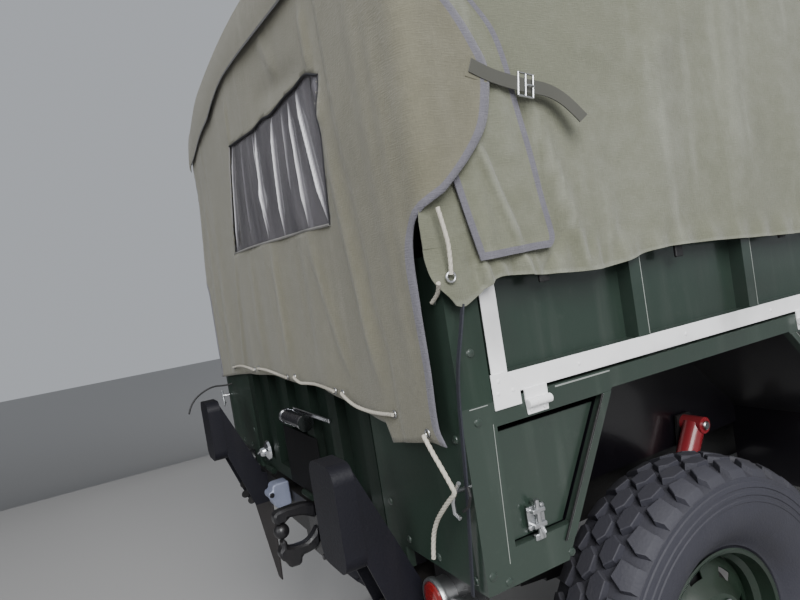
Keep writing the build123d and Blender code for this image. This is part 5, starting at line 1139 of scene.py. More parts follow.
def folds(table, across, up):
    """How far cloth stands out on the ridges of a table of folds, and how pale it is painted there: a painted highlight
    with some wear.
    """
    out = 0.0
    worn_and_highlit = 0.0
    for a0, z0, a1, z1, height, width, pale_and_highlit in table:
        run_a = a1 - a0
        run_z = z1 - z0
        share = ((across - a0) * run_a + (up - z0) * run_z) / (run_a ** 2 + run_z ** 2)
        share = min(max(share, 0.0), 1.0)
        gap = sqrt((across - a0 - share * run_a) ** 2 + (up - z0 - share * run_z) ** 2)
        ridge = exp(-(gap / width) ** 2) * min(1.0, 4.0 * (1.02 - share)) * min(1.0, 4.0 * (share + 0.06))
        out += height * ridge
        worn_and_highlit += pale_and_highlit * exp(-(gap / (width * 0.55)) ** 2) * min(1.0, 4.0 * (1.02 - share)) * min(1.0, 4.0 * (share + 0.06))
    return out, worn_and_highlit


def curve_through(table, value):
    """A smooth curve through a table of pairs, read at a value."""
    if value <= table[0][0]:
        return table[0][1]
    for index in range(len(table) - 1):
        (a, fa), (b, fb) = table[index], table[index + 1]
        if value <= b:
            before = table[max(index - 1, 0)]
            after = table[min(index + 2, len(table) - 1)]
            slope_a = (fb - before[1]) / (b - before[0])
            slope_b = (after[1] - fa) / (after[0] - a)
            t = (value - a) / (b - a)
            run = b - a
            return ((2 * t ** 3 - 3 * t ** 2 + 1) * fa + (t ** 3 - 2 * t ** 2 + t) * run * slope_a
                    + (3 * t ** 2 - 2 * t ** 3) * fb + (t ** 3 - t ** 2) * run * slope_b)
    return table[-1][1]


def eased(value, low, high):
    """0 below low, 1 above high, smooth between."""
    share = min(max((value - low) / (high - low), 0.0), 1.0)
    return share * share * (3 - 2 * share)


UPRIGHT_LENGTH = EAVE_Z - EAVE_RADIUS - SEAM_Z
CURVE_LENGTH = EAVE_RADIUS * pi / 2
ROOF_HALF = SHEET_HALF - EAVE_RADIUS
ROOF_LENGTH = 1.008 * ROOF_HALF
SECTION_HALF = UPRIGHT_LENGTH + CURVE_LENGTH + ROOF_LENGTH


def round_section(length):
    """Y, Z and outward direction at a length round the hoops, from the right-hand seam over to the left-hand one."""
    side = -1 if length < SECTION_HALF else 1
    rest = length if side < 0 else 2 * SECTION_HALF - length
    if rest < UPRIGHT_LENGTH:
        return side * SHEET_HALF, SEAM_Z + rest, side, 0.0
    rest -= UPRIGHT_LENGTH
    if rest < CURVE_LENGTH:
        angle = rest / EAVE_RADIUS
        return (side * (ROOF_HALF + EAVE_RADIUS * cos(angle)), EAVE_Z - EAVE_RADIUS + EAVE_RADIUS * sin(angle),
                side * cos(angle), sin(angle))
    share = min((rest - CURVE_LENGTH) / ROOF_LENGTH, 1.0)
    y = ROOF_HALF * (1 - share)
    return side * y, EAVE_Z + (RIDGE_Z - EAVE_Z) * (1 - (y / ROOF_HALF) ** 2), 0.0, 1.0


# Folds on the right side of the sheet: start X and Z, end X and Z, height, half width, and paleness on the ridge, a
# painted highlight with some wear
SIDE_FOLDS = ((-1.652, 1.739, -1.583, 1.448, 0.011, 0.017, 0.85), (-1.634, 1.645, -1.561, 1.426, 0.006, 0.014, 0.25),
              (-1.335, 1.822, -1.117, 1.960, 0.007, 0.030, 0.10), (-1.550, 1.874, -1.396, 1.820, 0.005, 0.022, 0.10),
              (-1.490, 1.560, -1.478, 1.430, 0.007, 0.018, 0.15), (-1.28, 2.10, -1.30, 1.50, 0.007, 0.060, 0.28),
              (-1.02, 2.10, -1.06, 1.50, 0.006, 0.040, 0.42), (-0.86, 2.08, -0.80, 1.50, 0.006, 0.070, 0.18),
              (-0.55, 2.10, -0.66, 1.50, 0.007, 0.060, 0.15), (-0.20, 2.12, -0.24, 1.50, 0.006, 0.040, 0.35),
              (0.18, 2.08, 0.10, 1.50, 0.008, 0.060, 0.15), (0.52, 2.12, 0.56, 1.50, 0.006, 0.040, 0.30))


def far_lean(y, z):
    """How far forward the left rear corner is pulled, tight round its post and hoop."""
    return 0.009 * eased(y, -0.2, 0.6) + 0.027 * eased(y, 0.45, 0.93) * eased(z, 1.45, 2.0)


def sheet_point(share_x, share_v):
    """Where a point of the big sheet hangs."""
    x = SHEET_REAR + (SHEET_FRONT - SHEET_REAR) * min(share_x / 0.96, 1.0)
    front = max(share_x - 0.96, 0.0) / 0.04
    length = 2 * SECTION_HALF * share_v
    y, z, out_y, out_z = round_section(length)
    side = -1 if y < 0 else 1
    on_roof = eased(z, 1.98, 2.16)
    span = max(hoop for hoop in (-9.0,) + HOOPS if hoop <= x) if x >= HOOPS[0] else HOOPS[0]
    bay = min(max((x - span) / 0.805, 0.0), 1.0)
    sag = 0.017 * sin(pi * bay) * on_roof if x < HOOPS[-1] else 0.0
    soft = noise.noise(Vector((x * 1.9, z * 1.3 + side * 7.0, 3.1))) * 0.006
    crumple = noise.noise(Vector((x * 11.0, length * 6.5 + 4.0, 9.7))) * 0.0016
    ridge, worn_and_highlit = folds(SIDE_FOLDS, x if side < 0 else -x - 0.6, z)
    out = soft * (1 - on_roof * 0.5) + crumple + ridge * (1 - on_roof) - sag
    low = eased(SEAM_Z + 0.35 - z, 0.0, 0.35) * (1 - on_roof)
    out += 0.004 * low * sin(x * 23.0 + 2.0 * noise.noise(Vector((x * 2.0, 0.0, side))))
    out = max(out, -0.003) if z < 1.9 else out
    fall = FALL * eased(x, FALL_START - 0.12, SHEET_FRONT + 0.30) * 1.38 if x > FALL_START - 0.12 else 0.0
    z_out = z + out_z * out
    if z > DOOR_CUT_Z:
        z_out -= fall * eased(z, DOOR_CUT_Z, EAVE_Z)
    if front > 0.0 and z_out > DOOR_CUT_Z:
        z_out -= front * (z_out - DOOR_CUT_Z)
    near_rear = max(0.0, 1 - (x - SHEET_REAR) / 0.25)
    x += (far_lean(y, z) + 0.016) * near_rear * eased(y, 0.3, 0.9) - 0.015 * near_rear ** 4 * eased(1.61 - z, 0.0, 0.07)
    # Pale where the hoops rub it, and on the sides the fold ridges' painted highlight.
    hoop_rub = sum(exp(-((x - hoop) / 0.016) ** 2) for hoop in HOOPS) * (0.25 + 0.3 * on_roof)
    worn_and_highlit = worn_and_highlit * (1 - on_roof) + hoop_rub * (0.35 if z < 1.95 else 0.8)
    return Vector((x, y + out_y * out, z_out)), (x, length), worn_and_highlit


SHEET_COLUMNS = 250
SHEET_ROWS = 132
sheet_cut = flat_cloth(SHEET_COLUMNS, SHEET_ROWS)
door_share_x = 0.96 * (DOOR_CUT_X - SHEET_REAR) / (SHEET_FRONT - SHEET_REAR)
door_share_v = (DOOR_CUT_Z - SEAM_Z) / (2 * SECTION_HALF)
for plane, normal in (((door_share_x, 0, 0), (1, 0, 0)), ((0, door_share_v, 0), (0, 1, 0)),
                      ((0, 1 - door_share_v, 0), (0, 1, 0))):
    bmesh.ops.bisect_plane(sheet_cut, geom=sheet_cut.verts[:] + sheet_cut.edges[:] + sheet_cut.faces[:], dist=0.0001,
                           plane_co=plane, plane_no=normal)
door_cloth = []
for face in sheet_cut.faces:
    middle = face.calc_center_median()
    if middle.x > door_share_x and min(middle.y, 1 - middle.y) < door_share_v:
        door_cloth.append(face)
bmesh.ops.delete(sheet_cut, geom=door_cloth, context="FACES")
hang(sheet_cut, sheet_point)
bmesh.ops.recalc_face_normals(sheet_cut, faces=sheet_cut.faces)
tilt_sheet = clothe("tilt_sheet", sheet_cut, "truck", duck)
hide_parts("tilt")

# A valance is sewn across the sheet's rear edge and hangs over the top of the curtain, bound with dark piping
VALANCE_EDGE = [(-0.940, 2.085), (-0.700, 2.100), (-0.496, 2.110), (-0.268, 2.125), (-0.046, 2.139), (0.137, 2.143),
                (0.301, 2.122), (0.401, 2.101), (0.650, 2.085), (0.940, 2.060)]
VALANCE_COLUMNS = 110
REAR_PLANE = -1.9345


def valance_point(share, drop):
    """A point of the valance: along the roof's rear edge and down over the curtain."""
    start = UPRIGHT_LENGTH + 0.02
    length = start + (2 * SECTION_HALF - 2 * start) * share
    y, z, out_y, out_z = round_section(length)
    low = min(z - 0.030, curve_through(VALANCE_EDGE, y))
    forward = max(0.0, 0.10 - drop) / 0.10
    fallen = max(0.0, drop - 0.10) / 0.90
    height = z + 0.004 * out_z + 0.003 - (z + 0.004 - low) * fallen
    narrow = 1.0 - 0.012 * fallen
    x = REAR_PLANE + 0.012 * forward + far_lean(y, z) - 0.003 * sin(pi * fallen)
    return Vector((x, (y + 0.004 * out_y) * narrow, height)), (y, z - height), 0.3 if fallen > 0.9 else 0.1


valance_cut = flat_cloth(VALANCE_COLUMNS, 20)
for face in valance_cut.faces:
    face.material_index = 1 if face.calc_center_median().y > 0.95 else 0
hang(valance_cut, valance_point)
bmesh.ops.recalc_face_normals(valance_cut, faces=valance_cut.faces)
valance = clothe("valance", valance_cut, "truck", shaded_rear_duck, dark_piping)
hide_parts("tilt")

# The strips below the seam are gathered by their ropes, and at the rear each ends in a torn-looking tip
HEM = [(-1.8985 + x, z) for x, z in ((0.000, 1.392), (0.027, 1.384), (0.050, 1.392), (0.081, 1.410), (0.117, 1.424),
                                     (0.222, 1.414), (0.379, 1.406), (0.531, 1.425), (0.697, 1.423), (0.900, 1.412),
                                     (1.088, 1.405), (1.300, 1.421), (1.480, 1.408), (1.700, 1.424), (1.900, 1.410),
                                     (2.130, 1.420), (2.300, 1.408), (2.520, 1.418))]
STRIP_FRONT = 0.6305
# How far back the strip reaches at each share of its height
STRIP_REAR = [(0.0, -1.8885), (0.40, -1.9210), (0.75, -1.9295), (1.0, -1.9300)]
# Gathers near the rear corner: start X and Z, end X and Z, height, half width, and paleness on the ridge, a painted
# highlight
GATHERS = ((-1.8478, 1.480, -1.8187, 1.395, -0.0108, 0.008, 0.0), (-1.8171, 1.475, -1.8146, 1.400, 0.0094, 0.007, 0.8),
           (-1.7322, 1.485, -1.7106, 1.400, 0.0101, 0.008, 0.8), (-1.6340, 1.485, -1.6822, 1.400, -0.0086, 0.008, 0.0),
           (-1.5894, 1.520, -1.5705, 1.395, 0.0079, 0.010, 0.7), (-1.7760, 1.450, -1.7650, 1.400, 0.0072, 0.008, 0.8),
           (-1.8010, 1.470, -1.7930, 1.400, -0.0072, 0.007, 0.0), (-1.8340, 1.460, -1.8300, 1.395, 0.0058, 0.006, 0.5),
           (-1.7480, 1.460, -1.7420, 1.400, -0.0058, 0.007, 0.0), (-1.6950, 1.480, -1.6900, 1.400, 0.0050, 0.008, 0.3),
           (-1.5300, 1.490, -1.5200, 1.400, -0.0043, 0.010, 0.0), (-1.4700, 1.490, -1.4650, 1.400, 0.0043, 0.012, 0.3))


def strip_point(side, share_x, share_z):
    """A point of the strip below the seam on one side."""
    rear = curve_through(STRIP_REAR, share_z) + (0.025 if side > 0 else 0.0)
    x = rear + (STRIP_FRONT - rear) * share_x
    low = curve_through(HEM, x)
    z = low + (SEAM_Z - low) * share_z
    hang_free = 1 - share_z
    above, flat, _ = sheet_point(0.96 * (x - SHEET_REAR) / (SHEET_FRONT - SHEET_REAR), 0.0 if side < 0 else 1.0)
    gather = 0.0045 * sin(x * 68.0 + 3.0 * noise.noise(Vector((x * 3.0, side, 1.0)))) * (0.25 + hang_free)
    gather += noise.noise(Vector((x * 9.0, z * 5.0, side * 3.0))) * 0.006 * hang_free
    near_rear = exp(-((x + 1.62) / 0.16) ** 2)
    gather += 0.005 * near_rear * sin(x * 150.0) * eased(share_z, 0.2, 0.8)
    ridge, pale_and_highlit = folds(GATHERS, x, z)
    own = 0.002 + max(gather + 0.004 * hang_free + ridge, -0.011)
    from_above = eased(share_z, 0.25, 1.0)
    out = own + (abs(above.y) - SHEET_HALF - own) * from_above
    # The crests of the gathers are painted pale as a painted highlight, and the foot of the hem is painted pale too.
    worn_and_highlit = 0.35 * eased(sin(x * 68.0), 0.6, 1.0) * hang_free + (0.5 if share_z < 0.10 else 0.0)
    worn_and_highlit = max(worn_and_highlit * (1 - from_above), pale_and_highlit)
    return Vector((x, side * (SHEET_HALF + out), z)), (x, flat[1] + side * (SEAM_Z - z)), worn_and_highlit


for side in (-1, 1):
    name = "right" if side < 0 else "left"
    strip_cut = hang(flat_cloth(460, 16), lambda share_x, share_z: strip_point(side, share_x, share_z))
    if side > 0:
        bmesh.ops.reverse_faces(strip_cut, faces=strip_cut.faces)
    bmesh.ops.recalc_face_normals(strip_cut, faces=strip_cut.faces)
    strip = clothe("hem_strip_" + name, strip_cut, "truck", duck)
    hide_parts("tilt_skirt_" + name)
    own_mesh(strip)

# Over each rear corner a tongue of canvas bound with grey webbing is sewn to the sheet, under the curtain
TONGUE_FRONT = [(1.462, 0.232), (1.470, 0.241), (1.485, 0.246), (1.561, 0.235), (1.646, 0.223), (1.748, 0.204),
                (1.802, 0.196), (1.865, 0.176), (1.916, 0.137), (1.980, 0.080), (2.045, 0.020)]
TONGUE_REAR = [(1.462, 0.071), (1.522, 0.058), (1.589, 0.044), (1.700, 0.020), (1.900, 0.000), (2.045, -0.010)]
# Folds of the tongue: start X and Z, end X and Z, height, half width, and paleness on the ridge, a painted highlight
# with some wear
TONGUE_FOLDS = ((0.0980, 1.670, 0.1690, 1.458, 0.010, 0.008, 0.95), (0.150, 1.820, 0.185, 1.600, 0.005, 0.020, 0.12),
                (0.090, 1.600, 0.105, 1.480, 0.004, 0.014, 0.10))
BINDING = 0.013
TONGUE_COLUMNS = 44
TONGUE_ROWS = 84


def banded(share, count, width, total):
    """Length across a cloth whose first and last two columns are its bindings."""
    step = share * count
    if step <= 2.0:
        return width * step / 2.0
    if step >= count - 2.0:
        return total - width * (count - step) / 2.0
    return width + (total - 2 * width) * (step - 2.0) / (count - 4.0)


def tongue_point(side, share_x, share_z):
    """A point of the tongue on one side."""
    low = TONGUE_FRONT[0][0]
    high = TONGUE_FRONT[-1][0]
    z = low + banded(share_z, TONGUE_ROWS, BINDING, high - low)
    rear = curve_through(TONGUE_REAR, z)
    front = curve_through(TONGUE_FRONT, z)
    x = rear + banded(share_x, TONGUE_COLUMNS, BINDING, front - rear)
    low_edge = low - 0.005 * (1 - eased(x, 0.07, 0.22)) * (1 - eased(share_z, 0.0, 0.3))
    ridge, worn_and_highlit = folds(TONGUE_FOLDS, x, z)
    edge = min(share_x * TONGUE_COLUMNS, (1 - share_x) * TONGUE_COLUMNS, share_z * TONGUE_ROWS)
    out = 0.0085 + ridge + (0.0016 if edge < 2.05 else 0.0) + 0.002 * noise.noise(Vector((x * 14.0, z * 9.0, side * 5.0)))
    out += 0.003 * eased(1.60 - z, 0.0, 0.15)
    tucked = far_lean(0.93, z) + 0.030 if side > 0 else 0.0
    return (Vector((BODY_REAR + x + tucked, side * (SHEET_HALF + out), z + (low_edge - low))), (x, z), worn_and_highlit)


for side in (-1, 1):
    name = "right" if side < 0 else "left"
    tongue_cut = flat_cloth(TONGUE_COLUMNS, TONGUE_ROWS)
    for face in tongue_cut.faces:
        middle = face.calc_center_median()
        across = min(middle.x, 1 - middle.x) * TONGUE_COLUMNS
        face.material_index = 1 if min(across, middle.y * TONGUE_ROWS) < 2.0 else 0
    hang(tongue_cut, lambda share_x, share_z: tongue_point(side, share_x, share_z))
    bmesh.ops.recalc_face_normals(tongue_cut, faces=tongue_cut.faces)
    tongue = clothe("tongue_" + name, tongue_cut, "truck", duck, tape)
    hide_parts("tilt")
    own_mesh(tongue)

# The curtain closes the tail. It hangs from under the valance, wraps round both corners on to the sides, where
# its edge is bound, and has a doubled corner panel each side. A vinyl window is sewn into it.
CURTAIN_PLANE = -1.9190
CURTAIN_HALF = 0.9455
WRAP_RADIUS = 0.026
# Half length of the curtain round its path at each height
CURTAIN_REACH = [(1.120, 0.908), (1.145, 0.908), (1.175, 0.888), (1.283, 0.892), (1.407, 0.896), (1.500, 0.902), (1.546, 0.925),
                 (1.585, 0.9725), (1.633, 1.0265), (1.684, 1.0685), (1.737, 1.0875), (1.790, 1.0935), (1.834, 1.0755),
                 (1.876, 1.0515), (1.909, 1.0265), (1.960, 0.990), (2.010, 0.955), (2.060, 0.935), (2.240, 0.915)]
# Bottom edge of the curtain at each distance from the middle, positive to the right
CURTAIN_HEM = [(-0.960, 1.150), (-0.800, 1.165), (-0.662, 1.178), (-0.243, 1.201), (0.031, 1.204), (0.162, 1.196),
               (0.321, 1.204), (0.448, 1.190), (0.581, 1.169), (0.735, 1.160)]
CORNER_HEM = [(0.740, 1.120), (0.820, 1.132), (0.920, 1.147)]
# The edge of the doubled corner panel: its distance from the middle at each height
PANEL_EDGE = [(1.110, 0.752), (1.158, 0.742), (1.314, 0.738), (1.394, 0.717), (1.526, 0.706), (1.650, 0.690),
              (1.724, 0.675), (1.818, 0.666), (2.000, 0.655), (2.240, 0.650)]
# Folds: distance right of the middle and height of both ends, height, half width, and paleness on the ridge, a painted
# highlight with some wear
CURTAIN_FOLDS = ((0.576, 1.912, 0.608, 1.784, 0.010, 0.020, 0.10), (0.604, 1.784, 0.690, 1.210, 0.012, 0.022, 0.35),
                 (0.571, 2.060, 0.578, 1.912, 0.010, 0.018, 0.10), (0.098, 1.600, 0.090, 1.237, 0.008, 0.022, 0.42),
                 (0.395, 1.600, 0.520, 1.215, 0.007, 0.020, 0.35), (0.300, 1.600, 0.290, 1.240, -0.005, 0.030, 0.00),
                 (-0.150, 1.610, -0.190, 1.230, 0.006, 0.030, 0.15), (0.135, 2.003, 0.520, 1.950, -0.006, 0.030, 0.00),
                 (0.800, 2.050, 0.840, 1.180, 0.006, 0.030, 0.12), (0.860, 1.950, 0.880, 1.300, 0.005, 0.016, 0.15),
                 (-0.160, 2.090, -0.178, 1.954, 0.008, 0.014, 0.25), (-0.344, 1.623, -0.520, 1.190, 0.009, 0.018, 0.30),
                 (-0.178, 1.954, -0.344, 1.623, 0.004, 0.016, 0.10), (-0.600, 1.900, -0.640, 1.200, 0.007, 0.050, 0.10),
                 (0.250, 2.140, 0.350, 1.990, 0.006, 0.026, 0.00), (-0.780, 1.950, -0.760, 1.250, 0.008, 0.040, 0.00))


def curtain_path(length, plane, half, radius):
    """X, Y and outward direction at a length right of the middle, across the tail and round its corners."""
    side = 1 if length > 0 else -1
    rest = abs(length)
    flat = half - radius
    if rest < flat:
        return plane, -length, -1.0, 0.0
    rest -= flat
    if rest < radius * pi / 2:
        angle = rest / radius
        return plane + radius * (1 - cos(angle)), -side * (flat + radius * sin(angle)), -cos(angle), -side * sin(angle)
    return plane + radius + rest - radius * pi / 2, -side * half, 0.0, float(-side)


CURTAIN_COLUMNS = 170
CURTAIN_ROWS = 90


# The window's outline, by its distance right of the middle and its height
EDGE_REACH = 0.0066
WINDOW_TOP = [(-0.178, 1.955), (0.000, 1.938), (0.094, 1.931), (0.180, 1.935), (0.252, 1.925), (0.382, 1.928), (0.459, 1.925),
              (0.540, 1.925), (0.616, 1.898)]
WINDOW_FOOT = [(-0.344, 1.623), (-0.100, 1.618), (0.201, 1.607), (0.384, 1.600), (0.545, 1.591)]
WINDOW_LEFT = [(1.600, -0.350), (1.623, -0.344), (1.954, -0.178), (1.980, -0.170)]
WINDOW_RIGHT = [(1.580, 0.540), (1.591, 0.545), (1.714, 0.569), (1.898, 0.616), (1.940, 0.622)]


def in_window(across, z):
    """How deep a point is inside the window's outline, negative outside."""
    return min(across - curve_through(WINDOW_LEFT, z), curve_through(WINDOW_RIGHT, z) - across,
               z - curve_through(WINDOW_FOOT, across), curve_through(WINDOW_TOP, across) - z)


def on_window_edge(across, z):
    """The same point of cloth, brought on to the window's outline if it lies close beside it."""
    if in_window(across, z) > -EDGE_REACH:
        for edge_line in (WINDOW_LEFT, WINDOW_RIGHT):
            if abs(across - curve_through(edge_line, z)) < EDGE_REACH:
                across = curve_through(edge_line, z)
        for edge_line in (WINDOW_FOOT, WINDOW_TOP):
            if abs(z - curve_through(edge_line, across)) < EDGE_REACH:
                z = curve_through(edge_line, across)
    return across, z


def curtain_point(share_a, share_z):
    """A point of the curtain."""
    centred = 2 * share_a - 1
    nominal = centred * 0.98
    if nominal > 0.738:
        low = curve_through(CORNER_HEM, nominal)
    else:
        low = curve_through(CURTAIN_HEM, nominal)
    reach_y = abs(centred) * 0.93
    if reach_y < ROOF_HALF:
        high = EAVE_Z + (RIDGE_Z - EAVE_Z) * (1 - (reach_y / ROOF_HALF) ** 2) - 0.012
    else:
        over = min((reach_y - ROOF_HALF) / (0.93 - ROOF_HALF), 1.0)
        high = EAVE_Z - 0.012 - 0.125 * over ** 2
    z = low + (high - low) * share_z
    reach = curve_through(CURTAIN_REACH, z)
    length = banded(share_a, CURTAIN_COLUMNS, 0.020, 2 * reach) - reach
    length, z = on_window_edge(length, z)
    x, y, out_x, out_y = curtain_path(length, CURTAIN_PLANE, CURTAIN_HALF, WRAP_RADIUS)
    ridge, worn_and_highlit = folds(CURTAIN_FOLDS, length, z)
    doubled = eased(abs(length) - curve_through(PANEL_EDGE, z), -0.004, 0.008)
    if length < 0:
        doubled *= 0.4
    out = ridge * (1 - 0.6 * eased(abs(length), 0.86, 0.93)) + 0.0075 * doubled * (1 - eased(abs(length), 0.90, 1.0) * 0.4)
    free = 1 - share_z
    out += noise.noise(Vector((length * 2.2, z * 1.4, 11.0))) * 0.007 * (1 - eased(abs(length), 0.85, 0.95))
    out += noise.noise(Vector((length * 13.0, z * 7.0, 21.0))) * 0.0013
    out += 0.006 * free ** 2 * sin(length * 19.0 + 1.0) * (1 - doubled)
    edge = min(share_a, 1 - share_a) * CURTAIN_COLUMNS
    if edge < 2.05:
        out += 0.0015
    on_side = eased(abs(length), CURTAIN_HALF - WRAP_RADIUS, CURTAIN_HALF + 0.02)
    out += 0.006 * on_side * eased(z, 1.50, 1.60) + 0.003 * on_side
    # A pale line where the cloth turns round the corner, and another along the doubled panel's edge, are painted
    # highlights.
    if abs(length) > 0.735 and abs(length) < 0.96:
        worn_and_highlit += 0.25 * exp(-((abs(length) - 0.915) / 0.012) ** 2) * eased(z, 1.55, 1.75)
    worn_and_highlit += 0.5 * exp(-((abs(length) - curve_through(PANEL_EDGE, z) - 0.004) / 0.004) ** 2)
    wrap_lean = far_lean(y, z) if length < 0 else 0.0
    x += wrap_lean * (1.0 if y < CURTAIN_HALF - 0.001 else 0.6)
    return Vector((x + out_x * out, y + out_y * out, z)), (length, z), min(worn_and_highlit, 1.0)


curtain_cut = flat_cloth(CURTAIN_COLUMNS, CURTAIN_ROWS)
for face in curtain_cut.faces:
    if min(face.calc_center_median().x, 1 - face.calc_center_median().x) * CURTAIN_COLUMNS < 2.0:
        face.material_index = 1
hang(curtain_cut, curtain_point)
flat_map = curtain_cut.loops.layers.uv["flat"]
opening = []
for face in curtain_cut.faces:
    middle = sum((loop[flat_map].uv for loop in face.loops), Vector((0, 0))) / len(face.loops)
    if in_window(middle.x, middle.y) > 0.001:
        opening.append(face)
bmesh.ops.delete(curtain_cut, geom=opening, context="FACES")
bmesh.ops.recalc_face_normals(curtain_cut, faces=curtain_cut.faces)
curtain = piece("tail_curtain", curtain_cut, "truck", "canvas", shaded_rear_duck, tape, sharp=180.0)
thick = curtain.modifiers.new("thickness", "SOLIDIFY")
thick.thickness = CLOTH
thick.offset = 1.0
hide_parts("rear_curtain")


def lifts_with_gate(soft):
    """The crew rolls the curtain up before the tailgate drops. Here each such piece only gets a mesh of its own."""
    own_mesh(soft)


lifts_with_gate(curtain)

# The window is soft clear vinyl that has gone cloudy. It has set into sharp upright creases, painted white along their
# ridges as a painted highlight.
# Creases: distance right of the middle and height of both ends, height, half width, whiteness of the painted highlight
VINYL_CREASES = ((-0.164, 1.945, -0.328, 1.632, 0.005, 0.005, 1.4), (0.094, 1.925, 0.060, 1.625, 0.007, 0.0045, 1.4),
                 (0.064, 1.925, 0.078, 1.640, 0.004, 0.004, 0.7), (0.250, 1.915, 0.204, 1.612, 0.008, 0.005, 1.5),
                 (0.389, 1.912, 0.402, 1.608, 0.008, 0.0045, 1.4), (0.456, 1.915, 0.530, 1.602, 0.010, 0.005, 1.7),
                 (0.330, 1.915, 0.318, 1.700, 0.003, 0.004, 0.4), (-0.060, 1.930, -0.110, 1.640, 0.003, 0.006, 0.15))
VINYL = (0.235, 0.225, 0.250)


def vinyl_point(share_a, share_z):
    """A point of the window."""
    z = 1.580 + 0.385 * share_z
    across = -0.360 + 0.985 * share_a
    across = min(max(across, curve_through(WINDOW_LEFT, z) - 0.008), curve_through(WINDOW_RIGHT, z) + 0.008)
    z = min(max(z, curve_through(WINDOW_FOOT, across) - 0.008), curve_through(WINDOW_TOP, across) + 0.008)
    ridge, crease_glint = folds(VINYL_CREASES, across, z)
    slack = max(in_window(across, z), 0.0)
    out = (ridge + noise.noise(Vector((across * 5.0, z * 3.0, 31.0))) * 0.004) * min(slack / 0.02, 1.0)
    x, y, out_x, out_y = curtain_path(across, CURTAIN_PLANE + 0.0030, CURTAIN_HALF, WRAP_RADIUS)
    base = curtain_out(across, z)
    return Vector((x - base - out + far_lean(y, z) * (1.0 if across < 0 else 0.0), y, z)), (across, z), crease_glint


def curtain_out(across, z):
    """How far the curtain's own slow waves stand out at its window."""
    ridge, _ = folds(CURTAIN_FOLDS, across, z)
    return ridge + noise.noise(Vector((across * 2.2, z * 1.4, 11.0))) * 0.007


def cloudy_vinyl():
    """Clear vinyl: hazy in patches, see-through between, and painted white along its creases as a painted highlight."""
    material = bpy.data.materials.new("cloudy_vinyl")
    material.use_nodes = True
    tree = material.node_tree
    shader = tree.nodes["Principled BSDF"]
    shader.inputs["Coat Weight"].default_value = 1.0
    shader.inputs["Coat Roughness"].default_value = 0.06
    flat_place = tree.nodes.new("ShaderNodeUVMap")
    flat_place.uv_map = "flat"
    haze = patches(tree, flat_place.outputs["UV"], (3.2, 1.0, 1.0), 3.4, 6.0, 0.34, 0.66)
    smear = patches(tree, flat_place.outputs["UV"], (14.0, 2.0, 1.0), 2.0, 4.0, 0.45, 0.75)
    crease = tree.nodes.new("ShaderNodeAttribute")
    crease.attribute_name = "wear_and_highlight"
    crease_glint = sum_of(tree, "MINIMUM", sum_of(tree, "MULTIPLY", crease.outputs["Fac"], 1.0), 1.0)
    colour = blended(tree, sum_of(tree, "MULTIPLY", haze, 0.6), VINYL, (0.150, 0.140, 0.150))
    colour = blended(tree, sum_of(tree, "MULTIPLY", smear, 0.35), colour, (0.42, 0.41, 0.44))
    colour = blended(tree, crease_glint, colour, (0.90, 0.90, 0.92))
    tree.links.new(colour, shader.inputs["Base Color"])
    solid = sum_of(tree, "MULTIPLY_ADD", haze, 0.30, 0.52)
    tree.links.new(sum_of(tree, "MINIMUM", sum_of(tree, "ADD", solid, crease_glint), 1.0), shader.inputs["Alpha"])
    tree.links.new(sum_of(tree, "MULTIPLY_ADD", haze, 0.15, 0.12), shader.inputs["Roughness"])
    return material


vinyl_cut = hang(flat_cloth(300, 60), vinyl_point)
bmesh.ops.recalc_face_normals(vinyl_cut, faces=vinyl_cut.faces)
vinyl = piece("vinyl_window", vinyl_cut, "truck", "clear_window", cloudy_vinyl(), sharp=180.0)
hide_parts("curtain_window")
lifts_with_gate(vinyl)

# Piping is sewn round the window: dark along its head and right side, pale along its foot and left side. The pale on
# the left side is a painted highlight.
piping = bmesh.new()
for edge_line, radius, finish in ((WINDOW_TOP, 0.0030, 0), (WINDOW_FOOT, 0.0036, 1)):
    line = []
    for step in range(61):
        across = edge_line[0][0] + (edge_line[-1][0] - edge_line[0][0]) * step / 60
        z = curve_through(edge_line, across)
        x, y, out_x, out_y = curtain_path(across, CURTAIN_PLANE, CURTAIN_HALF, WRAP_RADIUS)
        lean = far_lean(y, z) if across < 0 else 0.0
        line.append(Vector((x + lean - curtain_out(across, z) - 0.0025, y, z)))
    cord_shape = swept(circle(radius, 6), frames_along(line))
    stamp(piping, cord_shape, Matrix.Identity(4), finish=finish)
    cord_shape.free()
for edge_line, finish in ((WINDOW_LEFT, 1), (WINDOW_RIGHT, 0)):
    line = []
    for step in range(31):
        z = edge_line[1][0] + (edge_line[-2][0] - edge_line[1][0]) * step / 30
        across = curve_through(edge_line, z)
        x, y, out_x, out_y = curtain_path(across, CURTAIN_PLANE, CURTAIN_HALF, WRAP_RADIUS)
        lean = far_lean(y, z) if across < 0 else 0.0
        line.append(Vector((x + lean - curtain_out(across, z) - 0.0022, y, z)))
    cord_shape = swept(circle(0.0020, 6), frames_along(line))
    stamp(piping, cord_shape, Matrix.Identity(4), finish=finish)
    cord_shape.free()
piping_cloth = weathered("piping_cloth", (0.020, 0.020, 0.024), 0.6, dirt=0.1, streaks=0.0, grain=1.0)
welt_and_highlight = weathered("welt_and_highlight", (0.24, 0.235, 0.225), 0.7, dirt=0.1, streaks=0.0, grain=1.0)
window_piping = piece("window_piping", piping, "truck", "canvas", piping_cloth, welt_and_highlight)
lifts_with_gate(window_piping)


# Ropes and straps: laid cotton sash line through eyelets, an elastic strap from the sheet's corner down to the
# bed, a black rubber-covered cable at the far corner, and a webbing strap with a buckle over each tongue.
ROPE_WHITE = (0.52, 0.49, 0.42)
ROPE_LAY = 190.0


